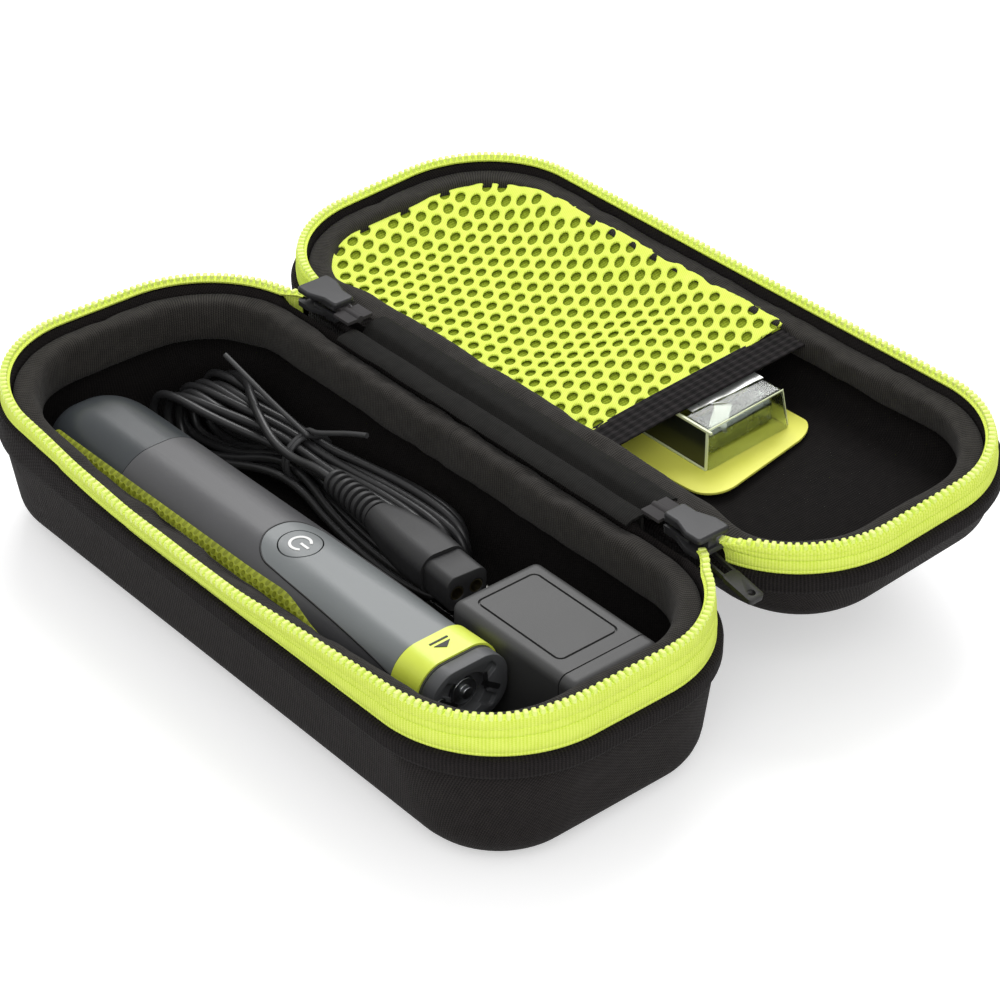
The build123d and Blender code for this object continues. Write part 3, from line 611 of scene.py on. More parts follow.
def add_bar(bm: Mesh, start: Sequence[float], end: Sequence[float], wide: float, thick: float) -> None:
    """Add a flat bar between two points.

    Args:
        bm: the mesh.
        start: one end, in mm.
        end: the other end.
        wide: its width along Y.
        thick: its other width.
    """
    a, b = Vector(start), Vector(end)
    turn = (b - a).to_track_quat("X", "Z").to_matrix().to_4x4()
    add_block(bm, (a + b) / 2, ((b - a).length, wide, thick), turn)


def refine(piece: bpy.types.Object) -> None:
    """Smooth a piece with one live subdivision."""
    finer = piece.modifiers.new("finer", "SUBSURF")
    finer.levels = finer.render_levels = 1


def thicken(piece: bpy.types.Object, name: str, thickness: float) -> None:
    """Give a sheet its thickness, half of it on either side.

    Args:
        piece: the sheet.
        name: the modifier's name.
        thickness: its thickness, in mm.
    """
    thick = piece.modifiers.new(name, "SOLIDIFY")
    thick.thickness, thick.offset = thickness * MM, 0.0


def crisp_copy(node: str, name: str, finish: Finish, body: str, slot: str, width: float,
               segments: int = 2, angle_deg: float = 30.0) -> bpy.types.Object:
    """Copy a hard CAD node with its edges rounded, and show the copy in its place.

    Args:
        node: the CAD node.
        name: the copy's name.
        finish: its finish.
        body: the body that it rides on.
        slot: the record's material slot.
        width: width of the rounding, in mm.
        segments: faces across the rounding.
        angle_deg: edges that turn by more than this are rounded.

    Returns:
        The new object.
    """
    bm = bmesh.new()
    bm.from_mesh(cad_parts[node].data)
    bmesh.ops.remove_doubles(bm, verts=bm.verts, dist=MERGE_M)
    bmesh.ops.dissolve_limit(bm, angle_limit=math.radians(FLAT_DEG), verts=bm.verts, edges=bm.edges)
    limit = math.radians(angle_deg)
    sharp = [e for e in bm.edges if e.is_manifold and e.calc_face_angle(0) > limit]
    round_edges(bm, sharp, width * MM, segments)
    piece = link_piece(name, bm, finish, body, slot, Matrix.Identity(4), 40.0)
    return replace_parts(piece, node)


def dress(node: str, finish: Finish) -> None:
    """Give a CAD node that stays in sight its finish.

    Args:
        node: the CAD node.
        finish: its finish.
    """
    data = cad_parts[node].data
    data.materials.clear()
    data.materials.append(finish.material())
    LOG.info("%s: dressed as %s", node, finish.name)


def cord_curve(name: str, points: Iterable[Sequence[float]], radius: float, finish: Finish,
               body: str) -> bpy.types.Object:
    """Lay a round cord along one smooth NURBS spline.

    Args:
        name: the cord's name.
        points: its control points, in mm.
        radius: its radius, in mm.
        finish: its finish.
        body: the body that it rides on.

    Returns:
        The curve object.
    """
    curve = bpy.data.curves.new(name, "CURVE")
    curve.dimensions = "3D"
    spline = curve.splines.new("NURBS")
    route = [Vector(p) * MM for p in points]
    spline.points.add(len(route) - 1)
    for point, co in zip(spline.points, route):
        point.co = (*co, 1)
    spline.order_u = 3
    spline.use_endpoint_u = True
    spline.use_smooth = True
    spline.resolution_u = 10
    curve.bevel_depth = radius * MM
    curve.bevel_resolution = 3
    curve.use_fill_caps = True
    curve.materials.append(finish.material())
    piece = bpy.data.objects.new(name, curve)
    bpy.context.scene.collection.objects.link(piece)
    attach(piece, body)
    LOG.info("%s: %d route points", name, len(route))
    return piece


# ---------------------------------------------------------------- the case's outline
@dataclass(frozen=True)
class Station:
    """One place round the case: its point on the lip's and on the foot's outline, and the way out."""

    lip: Vector
    foot: Vector
    out: Vector

    def at(self, spot: tuple[float, float, float, float]) -> Vector:
        """Find a section's point at this place.

        Args:
            spot: inset from the lip's outline, inset from the foot's, share of the foot's, and height.

        Returns:
            The point, in mm.
        """
        lip_inset, foot_inset, share, height = spot
        point = (self.lip - self.out * lip_inset).lerp(self.foot - self.out * foot_inset, share)
        return Vector((point.x, point.y, height))


@dataclass(frozen=True)
class Outline:
    """Rounded rectangle of the case at its lip, with the smaller one at its foot.

    It is run clockwise from the middle of the hinge side.
    """

    half_x: float = 105.0
    half_y: float = 45.0
    corner: float = 34.0
    foot_x: float = 98.3
    foot_y: float = 36.9
    foot_corner: float = 20.0

    def legs(self) -> list[tuple[Vector, Vector, float, float, float]]:
        """List the sides and corners: the corner signs and the angle at each end, and the length."""
        quarter = math.pi * self.corner / 2
        run_x, run_y = self.half_x - self.corner, self.half_y - self.corner
        signs = [(0, 1), (1, 1), (1, 1), (1, -1), (1, -1), (-1, -1), (-1, -1), (-1, 1), (-1, 1), (0, 1)]
        angles = [90, 90, 0, 0, -90, -90, -180, -180, -270, -270]
        found = []
        for a, b, start, end in zip(signs, signs[1:], angles, angles[1:]):
            straight = abs(b[0] - a[0]) * run_x + abs(b[1] - a[1]) * run_y
            found.append((Vector(a), Vector(b), start, end, straight or quarter))
        return found

    def length(self) -> float:
        """Return the way round at the lip, in mm."""
        return sum(leg[4] for leg in self.legs())

    def station(self, run: float) -> Station:
        """Find the place at a distance from the middle of the hinge side.

        Args:
            run: distance clockwise, in mm.

        Returns:
            The station there.
        """
        run %= self.length()
        for first, last, start, end, length in self.legs():
            if run <= length:
                break
            run -= length
        t = run / length
        sign = first.lerp(last, t)
        angle = math.radians(start + (end - start) * t)
        out = Vector((math.cos(angle), math.sin(angle)))
        lip = Vector((sign.x * (self.half_x - self.corner), sign.y * (self.half_y - self.corner)))
        foot = Vector((sign.x * (self.foot_x - self.foot_corner),
                       sign.y * (self.foot_y - self.foot_corner)))
        return Station(lip + out * self.corner, foot + out * self.foot_corner, out)

    def around(self, pitch: float) -> list[Station]:
        """List evenly spaced stations all the way round."""
        count = round(self.length() / pitch)
        return [self.station(self.length() * i / count) for i in range(count)]

    def run_at(self, x: float, inset: float) -> float:
        """Find the run of a point on the hinge side.

        Args:
            x: its place along the case.
            inset: inset from the lip's outline.

        Returns:
            The distance clockwise from the middle of the hinge side.
        """
        over = abs(x) - (self.half_x - self.corner)
        if over <= 0:
            run = abs(x)
        else:
            run = abs(x) - over + self.corner * math.asin(over / (self.corner - inset))
        return run if x > 0 else self.length() - run


def rim_spot(inset: float, height: float) -> tuple[float, float, float, float]:
    """Return a section's point that keeps to the lip's outline."""
    return inset, inset, 0.0, height


# ---------------------------------------------------------------- one half of the case
@dataclass(frozen=True)
class CaseHalf:
    """The base or the lid: moulded shell, lip band, lining, padded rim, zip tape, teeth and hinge skirt."""

    body: str
    place: Matrix
    lip_low: float
    lip_height: float
    bottom_r: float
    collar_top: float
    pad_top: float
    teeth_top: float
    outline: Outline = field(default_factory=Outline)
    lip_proud: float = 1.5
    wall: float = 2.6
    collar_inset: float = 2.6
    collar_wall: float = 2.0
    pad_inset: float = 4.75
    well_inset: float = 11.7
    pitch: float = 2.6
    tooth_pitch: float = 2.0
    tooth_size: tuple[float, float, float] = (1.15, 1.9, 2.0)
    tooth_rise: float = 1.0
    mouth_left: float = -70.2
    mouth_right: float = 79.2
    mouth_reach: float = 7.0
    held_rows: int = 4
    flop: float = 0.0
    climb: float = 5.5
    plump: float = 0.0
    flop_facing: tuple[float, float] = (1.3, 0.1)        # how soon the wall counts as the front one
    flop_onset: tuple[float, float] = (-112.0, 95.0)     # along X: where it starts, and over what length
    flop_fade: tuple[float, float] = (5.0, 82.0)
    flop_loss: float = 0.78                              # share of the flop that is gone past the fade
    flop_above: float = 5.2                              # height over the lip at which the wall bends
    flop_out: float = 0.25                               # way out and way down for each mm over the bend
    flop_down: float = 0.44
    climb_x: tuple[float, float] = (-14.0, -62.0)
    climb_y: tuple[float, float] = (34.0, -60.0)
    lining_skins: tuple[float, float] = (2.7, 3.7)
    pad_pitch: float = 2.2
    tape_pitch: float = 1.8
    tape_inset: float = 1.55
    tape_lean_deg: float = 3.5
    gather_in: float = 2.3                               # how far the slider draws the zip's edge in
    gather_low: float = 5.2                              # depth under the teeth at which that starts
    gather_run: float = 3.6
    gather_flat: float = 0.3                             # share of its height that the held edge keeps

    def build(self) -> None:
        """Build every piece of this half."""
        self.shell()
        self.lip_band()
        self.lining()
        self.padded_rim()
        self.zip_tape()
        self.zip_teeth()
        self.hinge_skirt()

    def add(self, name: str, bm: Mesh, finish: Finish, slot: str, node: str,
            sharp_deg: float = 50.0) -> None:
        """Link a mesh of this half and show it in place of its CAD node.

        Args:
            name: the piece's name, after the half's.
            bm: its mesh in mm.
            finish: its finish.
            slot: the record's material slot.
            node: the CAD node's name, after the half's.
            sharp_deg: edges that turn by more than this stay sharp.
        """
        piece = link_piece(f"{self.body}_{name}", bm, finish, self.body, slot, self.place, sharp_deg)
        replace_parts(piece, f"{self.body}_{node}")

    def tub_spots(self, inset: float, top: float) -> list[tuple[float, float, float, float]]:
        """List the section of the round-bottomed tub.

        Args:
            inset: how far its skin is moved in.
            top: height of its last point.

        Returns:
            Points from the flat bottom out and up.
        """
        o = self.outline
        lean_x = o.half_x - self.lip_proud - o.foot_x
        lean_y = o.half_y - self.lip_proud - o.foot_y
        lean = math.atan((lean_x + lean_y) / 2 / self.lip_low)
        r = self.bottom_r - inset
        tangent = r / math.tan((math.pi / 2 + lean) / 2)
        spots = []
        steps = 9
        for i in range(steps + 1):
            turn = (math.pi / 2 - lean) * i / steps
            rise = r * (1 - math.cos(turn))
            more = inset + rise * math.tan(lean) + tangent - r * math.sin(turn)
            share = 1 - rise / (self.lip_low - inset)
            spots.append((self.lip_proud + more, more, share, inset + rise))
        low = spots[-1][3]
        for i in (1, 2, 3):
            height = low + (top - low) * i / 3
            share = 1 - (height - inset) / (self.lip_low - inset)
            spots.append((self.lip_proud + inset, inset, share, height))
        return spots

    def slackness(self, station: Station) -> float:
        """Tell how far the open zip lets the front wall flop out at a place, from 0 to 1.

        Args:
            station: the place round the case.

        Returns:
            The share of the full flop.
        """
        if station.lip.y > 0 or not self.flop:
            return 0.0
        slope, start = self.flop_facing
        front = smooth_step(-station.out.y * slope - start)
        x = station.lip.x
        kept = 1 - self.flop_loss * ramp(x, *self.flop_fade)
        return self.flop * front * ramp(x, *self.flop_onset) * kept

    def slack(self, station: Station, spot: tuple[float, float, float, float],
              sunk: float = 0.0) -> Vector:
        """Find a section's point with the wall flopped out.

        Args:
            station: the place round the case.
            spot: the section's point.
            sunk: how far the point sinks where the wall is slackest, in mm.

        Returns:
            The point, in mm.
        """
        point = station.at(spot)
        share = self.slackness(station)
        rise = max(point.z - self.lip_low - self.flop_above, 0.0)
        ripple_run = 17
        ripple = 0.35 * noise.noise(Vector((point.x / ripple_run, point.y / ripple_run, 5.0)))
        side = station.out * (share * (self.flop_out + 0.03 * ripple) * rise)
        drop = share * (self.flop_down * rise + (sunk + ripple) * min(rise / 3, 1.0))
        return point + Vector((side.x, side.y, -drop))

    def round_skin(self, spots: Sequence[tuple], closed: bool, pitch: float, sunk: Sequence[float] = (),
                   change: Optional[Callable[[Vector], Vector]] = None) -> Mesh:
        """Run a section all round the case.

        Args:
            spots: the section.
            closed: whether the section is closed.
            pitch: distance between stations, in mm.
            sunk: how far each of the section's points sinks where the wall is slackest.
            change: a last move of each point.

        Returns:
            The mesh.
        """
        stations = self.outline.around(pitch)

        def at(i: int, j: int) -> Vector:
            point = self.slack(stations[i], spots[j], sunk[j] if sunk else 0.0)
            return change(point) if change else point

        return grid_skin(len(stations), len(spots), at, True, closed)

    def shell(self) -> None:
        """Moulded shell with its upright collar, lowered where the folding sliders need room."""
        base_teeth_top = 45.0
        top, axis = self.collar_top, self.teeth_top + HINGE_Z - base_teeth_top
        inner = self.collar_inset + self.collar_wall
        spots = self.tub_spots(0.0, self.lip_low - 0.4)
        spots += [rim_spot(self.lip_proud + 0.4, self.lip_low),
                  rim_spot(self.collar_inset, self.lip_low + 0.1),
                  rim_spot(self.collar_inset, top - 0.6), rim_spot(self.collar_inset + 0.5, top),
                  rim_spot(inner - 0.5, top), rim_spot(inner, top - 0.6)]
        spots += reversed(self.tub_spots(self.wall, self.lip_low - 2.0))

        def lower(p: Vector) -> Vector:
            near = HINGE_Y - p.y
            in_bay = BACK_LEFT < p.x < STRIP_LEFT or STRIP_RIGHT < p.x < BACK_RIGHT
            if in_bay and p.y > HINGE_SIDE_Y and near < SLIDER_SWEEP:
                p.z = min(p.z, axis - math.sqrt(SLIDER_SWEEP ** 2 - near ** 2))
            return p

        bm = self.round_skin(spots, False, self.pitch, (), lower)
        self.add("moulded_shell", bm, SHELL_CLOTH, "shell_fabric", "shell")

    def lip_band(self) -> None:
        """Ribbed band with rounded edges, sewn over the shell's lip."""
        low, high = self.lip_low + 0.1, self.lip_low + self.lip_height
        section = ((2.5, low), (1.3, low), (0.4, low + 0.35), (0.0, low + 1.2), (0.0, (low + high) / 2),
                   (0.0, high - 1.2), (0.4, high - 0.35), (1.3, high), (2.5, high))
        spots = [rim_spot(*spot) for spot in section]

        def climb(p: Vector) -> Vector:
            share = self.flop * ramp(p.x, *self.climb_x) * ramp(p.y, *self.climb_y)
            p.z += self.climb * share * (p.z - low) / (high - low)
            return p

        bm = self.round_skin(spots, True, self.pitch, (), climb)
        self.add("ribbed_band", bm, BAND_CLOTH, "band_fabric", "lip_band")

    def lining(self) -> None:
        """Jersey lining, a little uneven where it isn't glued flat."""
        top = self.lip_low - 0.1
        outside, inside = (self.tub_spots(inset, top) for inset in self.lining_skins)
        spots = outside + list(reversed(inside))
        inner = len(spots) // 2
        stations = self.outline.around(self.pitch)

        def at(i: int, j: int) -> Vector:
            point = stations[i].at(spots[j])
            if j >= inner and point.z > 5:
                ripple = noise.noise(Vector((point.x, point.y, point.z)) / 16)
                side = stations[i].out * (0.5 * ripple)
                point -= Vector((side.x, side.y, 0))
            return point

        bm = grid_skin(len(stations), len(spots), at, True, False)
        self.add("jersey_lining", bm, LINING_JERSEY, "lining_fabric", "lining")

    def padded_rim(self) -> None:
        """Foam rim in jersey, puffed as cloth and gathered a little in the corners."""
        low, top = self.lip_low + 0.25, self.pad_top
        a, b = self.pad_inset + 0.1, self.well_inset
        mid = (a + b) / 2
        side = [(a, 0.0), (a, 0.3), (a, 0.6), (a + 0.15, 0.86), (a + 0.9, 0.97), (mid - 0.9, 1.0),
                (mid + 1.0, 1.0), (b - 0.9, 0.95), (b - 0.15, 0.84), (b, 0.62), (b, 0.36), (b - 0.25, 0.14),
                (b - 1.2, 0.03), (mid + 0.8, 0.0), (mid - 1.2, 0.0)]
        spots = [rim_spot(inset, low + (top - low) * share) for inset, share in side]
        sunk = [share * (1.2 + 4.0 * (inset - a) / (b - a)) for inset, share in side]

        def swell(p: Vector) -> Vector:
            near = ramp(abs(p.x), 80, -18) * ramp(p.y, 26, 5) * ramp(p.z, low, 3)
            share = self.plump * near * smooth_step((self.outline.half_y - a - p.y) / (b - a))
            p.y -= share
            p.z += 0.6 * share
            return p

        bm = self.round_skin(spots, True, self.pad_pitch, sunk, swell)
        piece = link_piece(f"{self.body}_foam_rim", bm, RIM_JERSEY, None, "rim_fabric", self.place, 80.0)
        rows = piece.data.attributes[ROW].data
        held = [i for i, value in enumerate(rows) if value.value < self.held_rows]
        puff(piece, held, cap=0.5 * MM)
        pucker(piece, held, 0.24 * MM)
        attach(piece, self.body)
        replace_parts(piece, f"{self.body}_padded_rim")

    def zip_path(self, pitch: float) -> list[Station]:
        """List the stations from the right slider's mouth round the front to the left one's.

        Args:
            pitch: about the distance between stations, in mm.

        Returns:
            The stations.
        """
        start = self.outline.run_at(self.mouth_right, self.collar_inset)
        end = self.outline.run_at(self.mouth_left, self.collar_inset)
        count = round((end - start) / pitch)
        return [self.outline.station(start + (end - start) * i / count) for i in range(count + 1)]

    def gathered(self, p: Vector) -> Vector:
        """Draw the zip's upper edge in towards a slider's mouth.

        Args:
            p: a point of the tape or of a tooth.

        Returns:
            Where it lies once the slider holds it.
        """
        if p.y < HINGE_SIDE_Y:
            return p
        away = p.x - self.mouth_right if p.x > 0 else self.mouth_left - p.x
        held = smooth_step((p.z - self.teeth_top + self.gather_low) / self.gather_run)
        share = smooth_step(1 - away / self.mouth_reach) * held
        centre = self.teeth_top - 0.2
        lift = (centre + (p.z - self.teeth_top) * self.gather_flat - p.z) * share
        return Vector((p.x, p.y + self.gather_in * share, p.z + lift))

    def zip_tape(self) -> None:
        """Zip tape: two smooth tiers with sewn grooves, and an upper edge folded over the collar."""
        low, top = self.lip_low + self.lip_height + 0.05, self.teeth_top - self.tooth_rise
        tall = self.teeth_top - low
        groove, coil = low + 0.47 * tall, self.teeth_top - 0.34 * tall
        lean = math.tan(math.radians(self.tape_lean_deg))

        def outer(height: float, more: float = 0.0) -> tuple[float, float, float, float]:
            return rim_spot(self.tape_inset + (height - low) * lean + more, height)

        spots = [rim_spot(2.5, low), outer(low, 0.25), outer(low + 0.3), outer(low + 0.75, 0.02),
                 outer(low + 0.95, 0.16), outer(low + 1.15, 0.02), outer((low + groove) / 2, -0.12),
                 outer(groove - 0.35), outer(groove - 0.1, 0.12), outer(groove + 0.05, 0.4),
                 outer(groove + 0.2, 0.1), outer(groove + 0.5, -0.05), outer(coil - 0.2, -0.05),
                 outer(coil, 0.12), outer(coil + 0.2, -0.05), outer(top - 0.4, 0.1), rim_spot(2.4, top),
                 rim_spot(4.5, top - 0.05), rim_spot(4.85, top - 0.4), rim_spot(4.6, top - 0.95),
                 rim_spot(2.52, top - 0.95)]
        path = self.zip_path(self.tape_pitch)

        def at(i: int, j: int) -> Vector:
            return self.gathered(self.slack(path[i], spots[j]))

        bm = grid_skin(len(path), len(spots), at, False, True)
        self.add("lime_tape", bm, TAPE_CLOTH, "tape_lime", "zip_tape", 60.0)

    def zip_teeth(self) -> None:
        """Row of small rounded teeth along the tape's edge."""
        bm = bmesh.new()
        wide, deep, high = self.tooth_size
        spot = rim_spot(self.collar_inset + 0.7, self.teeth_top - self.tooth_rise)
        for station in self.zip_path(self.tooth_pitch):
            edge = self.slack(station, spot)
            foot, tip = (self.gathered(edge + Vector((0, 0, rise)))
                         for rise in (self.tooth_rise - high, self.tooth_rise))
            up = (tip - foot).normalized()
            along = Vector((-station.out.y, station.out.x, 0))
            turn = Matrix((along, up.cross(along), up)).transposed().to_4x4()
            add_block(bm, (foot + tip) / 2, (wide, deep, (tip - foot).length), turn)
        round_edges(bm, bm.edges, 0.38)
        self.add("lime_teeth", bm, TOOTH_PLASTIC, "teeth_lime", "zip_teeth", 60.0)

    def hinge_skirt(self) -> None:
        """Webbing sewn down the outside of the collar along the hinge."""
        low, high = self.lip_low + self.lip_height + 0.1, self.collar_top + 0.7
        spots = [(42.5, low), (43.2, low), (43.4, low + 0.5), (43.4, (low + high) / 2), (43.4, high - 0.5),
                 (43.1, high), (42.5, high)]
        count = 36
        step = (STRIP_RIGHT - STRIP_LEFT) / count

        def at(i: int, j: int) -> Vector:
            return Vector((STRIP_LEFT + step * i, *spots[j]))

        bm = grid_skin(count + 1, len(spots), at, False, True)
        # its finish carries painted shade for the valley between the rims
        link_piece(f"{self.body}_hinge_skirt", bm, WEBBING_PAINTED_SHADE, self.body, "hinge_webbing", self.place)


def pucker(piece: bpy.types.Object, held: Sequence[int], depth_m: float) -> None:
    """Press shallow gathers into a soft piece, then smooth it with one subdivision.

    Args:
        piece: the soft piece.
        held: indices of the vertices that stay.
        depth_m: depth of the gathers, in metres.
    """
    fixed = set(held)
    mesh = piece.data
    moves = []
    for i, vert in enumerate(mesh.vertices):
        p = vert.co / MM
        along = noise.noise(Vector((p.x / 5.0, p.y / 5.0, p.z / 14.0)))
        folds = noise.noise(Vector((p.x / 26.0, p.y / 26.0, p.z / 2.6)))
        depth = 0.0 if i in fixed else (0.8 * along + 1.5 * folds - 0.5) * depth_m
        moves.append(vert.normal * depth)
    for vert, move in zip(mesh.vertices, moves):
        vert.co += move
    refine(piece)


def puff(piece: bpy.types.Object, held: Sequence[int], cap: float, frames: int = 20) -> None:
    """Swell a soft piece as cloth under pressure and keep the result.

    Args:
        piece: the soft piece, not yet riding.
        held: indices of the vertices that stay.
        cap: how far a vertex may move, in metres.
        frames: simulated frames.
    """
    group = piece.vertex_groups.new(name="held")
    group.add(list(held), 1.0, "REPLACE")
    modifier = piece.modifiers.new("cloth", "CLOTH")
    settings = modifier.settings
    settings.quality = 5
    settings.mass = 0.15
    settings.use_pressure = True
    settings.uniform_pressure_force = 4.0
    settings.shrink_min = -0.04
    settings.vertex_group_mass = "held"
    settings.effector_weights.gravity = 0.0
    modifier.point_cache.frame_start, modifier.point_cache.frame_end = 1, frames
    start = [v.co.copy() for v in piece.data.vertices]
    scene = bpy.context.scene
    for number in range(1, frames + 1):
        scene.frame_set(number)
    evaluated = piece.evaluated_get(bpy.context.evaluated_depsgraph_get())
    swollen = [v.co.copy() for v in evaluated.data.vertices]
    piece.modifiers.remove(modifier)
    piece.vertex_groups.clear()
    for vert, old, new in zip(piece.data.vertices, start, swollen):
        move = new - old
        vert.co = old + move * min(1.0, cap / max(move.length, 1e-9))
    scene.frame_set(1)


# ---------------------------------------------------------------- hinge
@dataclass(frozen=True)
class Hinge:
    """Webbing that joins the halves, and the folded zip ends with their sliders and pulls."""

    columns: int = 56
    thick: float = 0.75
    sag: float = 0.25
    profile: tuple[tuple[float, float], ...] = (
        (37.9, 42.6), (38.6, 43.2), (40.2, 43.45), (42.0, 43.55), (43.6, 43.5), (44.6, 43.0), (45.4, 42.0),
        (46.0, 41.5))                # the base's side of the webbing: Y and Z, out to the hinge line

    def build(self) -> None:
        """Build the webbing and dress the zip ends."""
        self.webbing()
        for side in ("left", "right"):
            for node, ending, finish, body, slot, width in (
                    ("zip_end", "tab", ZIP_END_CLOTH, "zip_end", "hinge_webbing", 0.2),
                    ("zip_slider", "cast", SLIDER_METAL, "slider", "slider_metal", 0.22),
                    ("zip_pull", "tab", PULL_RUBBER, "pull", "slider_metal", 0.25)):
                crisp_copy(f"{node}_{side}", f"{node}_{side}_{ending}", finish, f"{body}_{side}", slot, width)

    def webbing(self) -> None:
        """Flat webbing from flange to flange, sunk to a valley on the hinge line."""
        tilt = Matrix.Rotation(math.radians(TILT_DEG), 2)
        axis = Vector((HINGE_Y, HINGE_Z))
        top = [Vector(p) for p in self.profile]
        top += [axis + tilt @ (Vector((2 * HINGE_Y - y, z)) - axis) for y, z in reversed(self.profile[:-1])]
        under = []
        for i, p in enumerate(top):
            before, after = top[max(i - 1, 0)], top[min(i + 1, len(top) - 1)]
            run = (after - before).normalized()
            under.append(p + Vector((run.y, -run.x)) * self.thick)
        loop = top + list(reversed(under))
        step = (STRIP_RIGHT - STRIP_LEFT) / self.columns

        def at(i: int, j: int) -> Vector:
            x = STRIP_LEFT + step * i
            sag = self.sag * noise.noise(Vector((x / 9, loop[j].x / 6, 0)))
            return Vector((x, loop[j].x, loop[j].y + sag))

        bm = grid_skin(self.columns + 1, len(loop), at, False, True)
        # its finish carries painted shade for the valley between the rims
        piece = link_piece("hinge_webbing_sheet", bm, WEBBING_PAINTED_SHADE, None, "hinge_webbing")
        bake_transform(piece)
        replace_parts(piece, "base_hinge_strip", "lid_hinge_strip")


# ---------------------------------------------------------------- mesh pocket
@dataclass(frozen=True)
class Pocket:
    """Lime mesh with real holes on a lime backing painted darker as shade, and the ribbed elastic along its
    free edge.
    """

    height: float = 17.45
    backing: float = 16.55
    edge_inset: float = 9.6
    free_edge: float = 20.6
    spacing: float = 4.3
    row: float = 5.4
    turn_deg: float = 37.4
    start: tuple[float, float] = (-33.0, 27.1)
    hole: tuple[float, float] = (1.6, 2.65)
    border: float = 1.9
    end_border: float = 0.4
    sag: float = 3.6
    hollow_half: float = 35.4                      # half the width over which the cloth hangs hollow
    reach: tuple[int, int] = (34, 24)              # cells laid either way from the start
    web: float = 0.7                               # width of the web left round a hole
    thread: float = 0.85
    backing_thick: float = 0.25
    backing_grid: tuple[int, int] = (58, 36)
    band_x: tuple[float, float] = (19.9, 29.9)
    band_half: float = 34.0
    band_height: float = 17.45
    band_grid: tuple[int, int] = (30, 41)
    ribs: int = 5
    outline: Outline = field(default_factory=Outline)

    def build(self) -> None:
        """Build the mesh, its backing and the band."""
        self.mesh_sheet()
        self.backing_sheet()
        self.band()

    def inside(self, x: float, y: float, inset: float) -> tuple[float, float]:
        """Move a point that is past the pocket's edge onto it.

        Args:
            x: place along the case.
            y: place across the lid.
            inset: the edge's inset from the lip's outline.

        Returns:
            The place inside.
        """
        o = self.outline
        r = o.corner - inset
        run_x, run_y = o.half_x - o.corner, o.half_y - o.corner
        over_x, over_y = -x - run_x, abs(y) - run_y
        if over_x > 0 and over_y > 0 and math.hypot(over_x, over_y) > r:
            scale = r / math.hypot(over_x, over_y)
            x, y = -(run_x + over_x * scale), math.copysign(run_y + over_y * scale, y)
        x = max(x, -(run_x + r))
        y = min(max(y, -(run_y + r)), run_y + r)
        return min(x, self.free_edge), y

    def slack(self, x: float, y: float) -> float:
        """Return how far the cloth stands off its plane at a place."""
        hollow = (1 - (y / self.hollow_half) ** 2) * ramp(x, 3, -24) * ramp(x, -96, 20)
        rise = 1.5 * ramp(y, 18, 15)
        return 0.4 * noise.noise(Vector((x / 26, y / 20, 3.0))) - 0.15 - self.sag * hollow + rise

    def mesh_sheet(self) -> None:
        """Staggered cells with a rounded hole in each."""
        bm = bmesh.new()
        turn = Matrix.Rotation(math.radians(self.turn_deg), 4, "Z")
        tall = 2 * self.row / 3
        squeeze = Matrix.Diagonal((self.spacing / 2 / (tall * math.cos(math.pi / 6)), 1, 1, 1))
        origin = Vector((*self.start, 0))
        centres = []
        reach_i, reach_j = self.reach
        for j in range(-reach_j, reach_j + 1):
            for i in range(-reach_i, reach_i + 1):
                local = Vector(((i + (j % 2) / 2) * self.spacing, j * self.row, 0))
                centre = origin + turn @ local
                fit = Vector((*self.inside(centre.x, centre.y, self.edge_inset), 0))
                if (fit - centre).length < 1.3 * self.row:
                    centres.append(centre)
                    bmesh.ops.create_circle(bm, cap_ends=True, radius=tall, segments=6,
                                            matrix=Matrix.Translation(centre) @ turn @ squeeze)
        bmesh.ops.remove_doubles(bm, verts=bm.verts, dist=0.05)
        cells = list(bm.faces)
        bmesh.ops.inset_individual(bm, faces=cells, thickness=self.web, depth=0.0, use_even_offset=True)
        back = turn.inverted()
        open_cells = []
        for cell in cells:
            centre = cell.calc_center_median()
            fit = self.inside(centre.x, centre.y, self.edge_inset + self.border)
            moved = math.hypot(fit[0] - centre.x, fit[1] - centre.y) > 1e-6
            if moved or centre.x > self.free_edge - self.end_border:
                continue
            open_cells.append(cell)
            for vert in cell.verts:
                spoke = back @ (vert.co - centre)
                angle = math.atan2(spoke.y / self.hole[1], spoke.x / self.hole[0])
                rim = Vector((math.cos(angle) * self.hole[0], math.sin(angle) * self.hole[1], 0))
                vert.co = centre + turn @ rim
        bmesh.ops.delete(bm, geom=open_cells, context="FACES")
        for vert in bm.verts:
            x, y = self.inside(vert.co.x, vert.co.y, self.edge_inset)
            vert.co = (x, y, self.height + self.slack(x, y))
        bmesh.ops.remove_doubles(bm, verts=bm.verts, dist=0.08)
        bmesh.ops.dissolve_degenerate(bm, edges=bm.edges, dist=0.05)
        bmesh.ops.recalc_face_normals(bm, faces=bm.faces)
        piece = link_piece("pocket_mesh_sheet", bm, MESH_CLOTH, None, "mesh_lime", LID_PLACE, 180.0)
        thicken(piece, "thread", self.thread)
        refine(piece)
        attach(piece, "lid")
        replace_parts(piece, "lid_mesh_pocket")

    def backing_sheet(self) -> None:
        """Thin lime cloth under the mesh, painted darker as the shade under it."""
        columns, rows = self.backing_grid
        low_x = -(self.outline.half_x - self.edge_inset)
        half_y = self.outline.half_y - self.edge_inset

        def at(i: int, j: int) -> Vector:
            y = -half_y + 2 * half_y * j / (rows - 1)
            left, _ = self.inside(low_x, y, self.edge_inset)
            x = left + (self.free_edge - left) * i / (columns - 1)
            return Vector((x, y, self.backing + self.slack(x, y)))

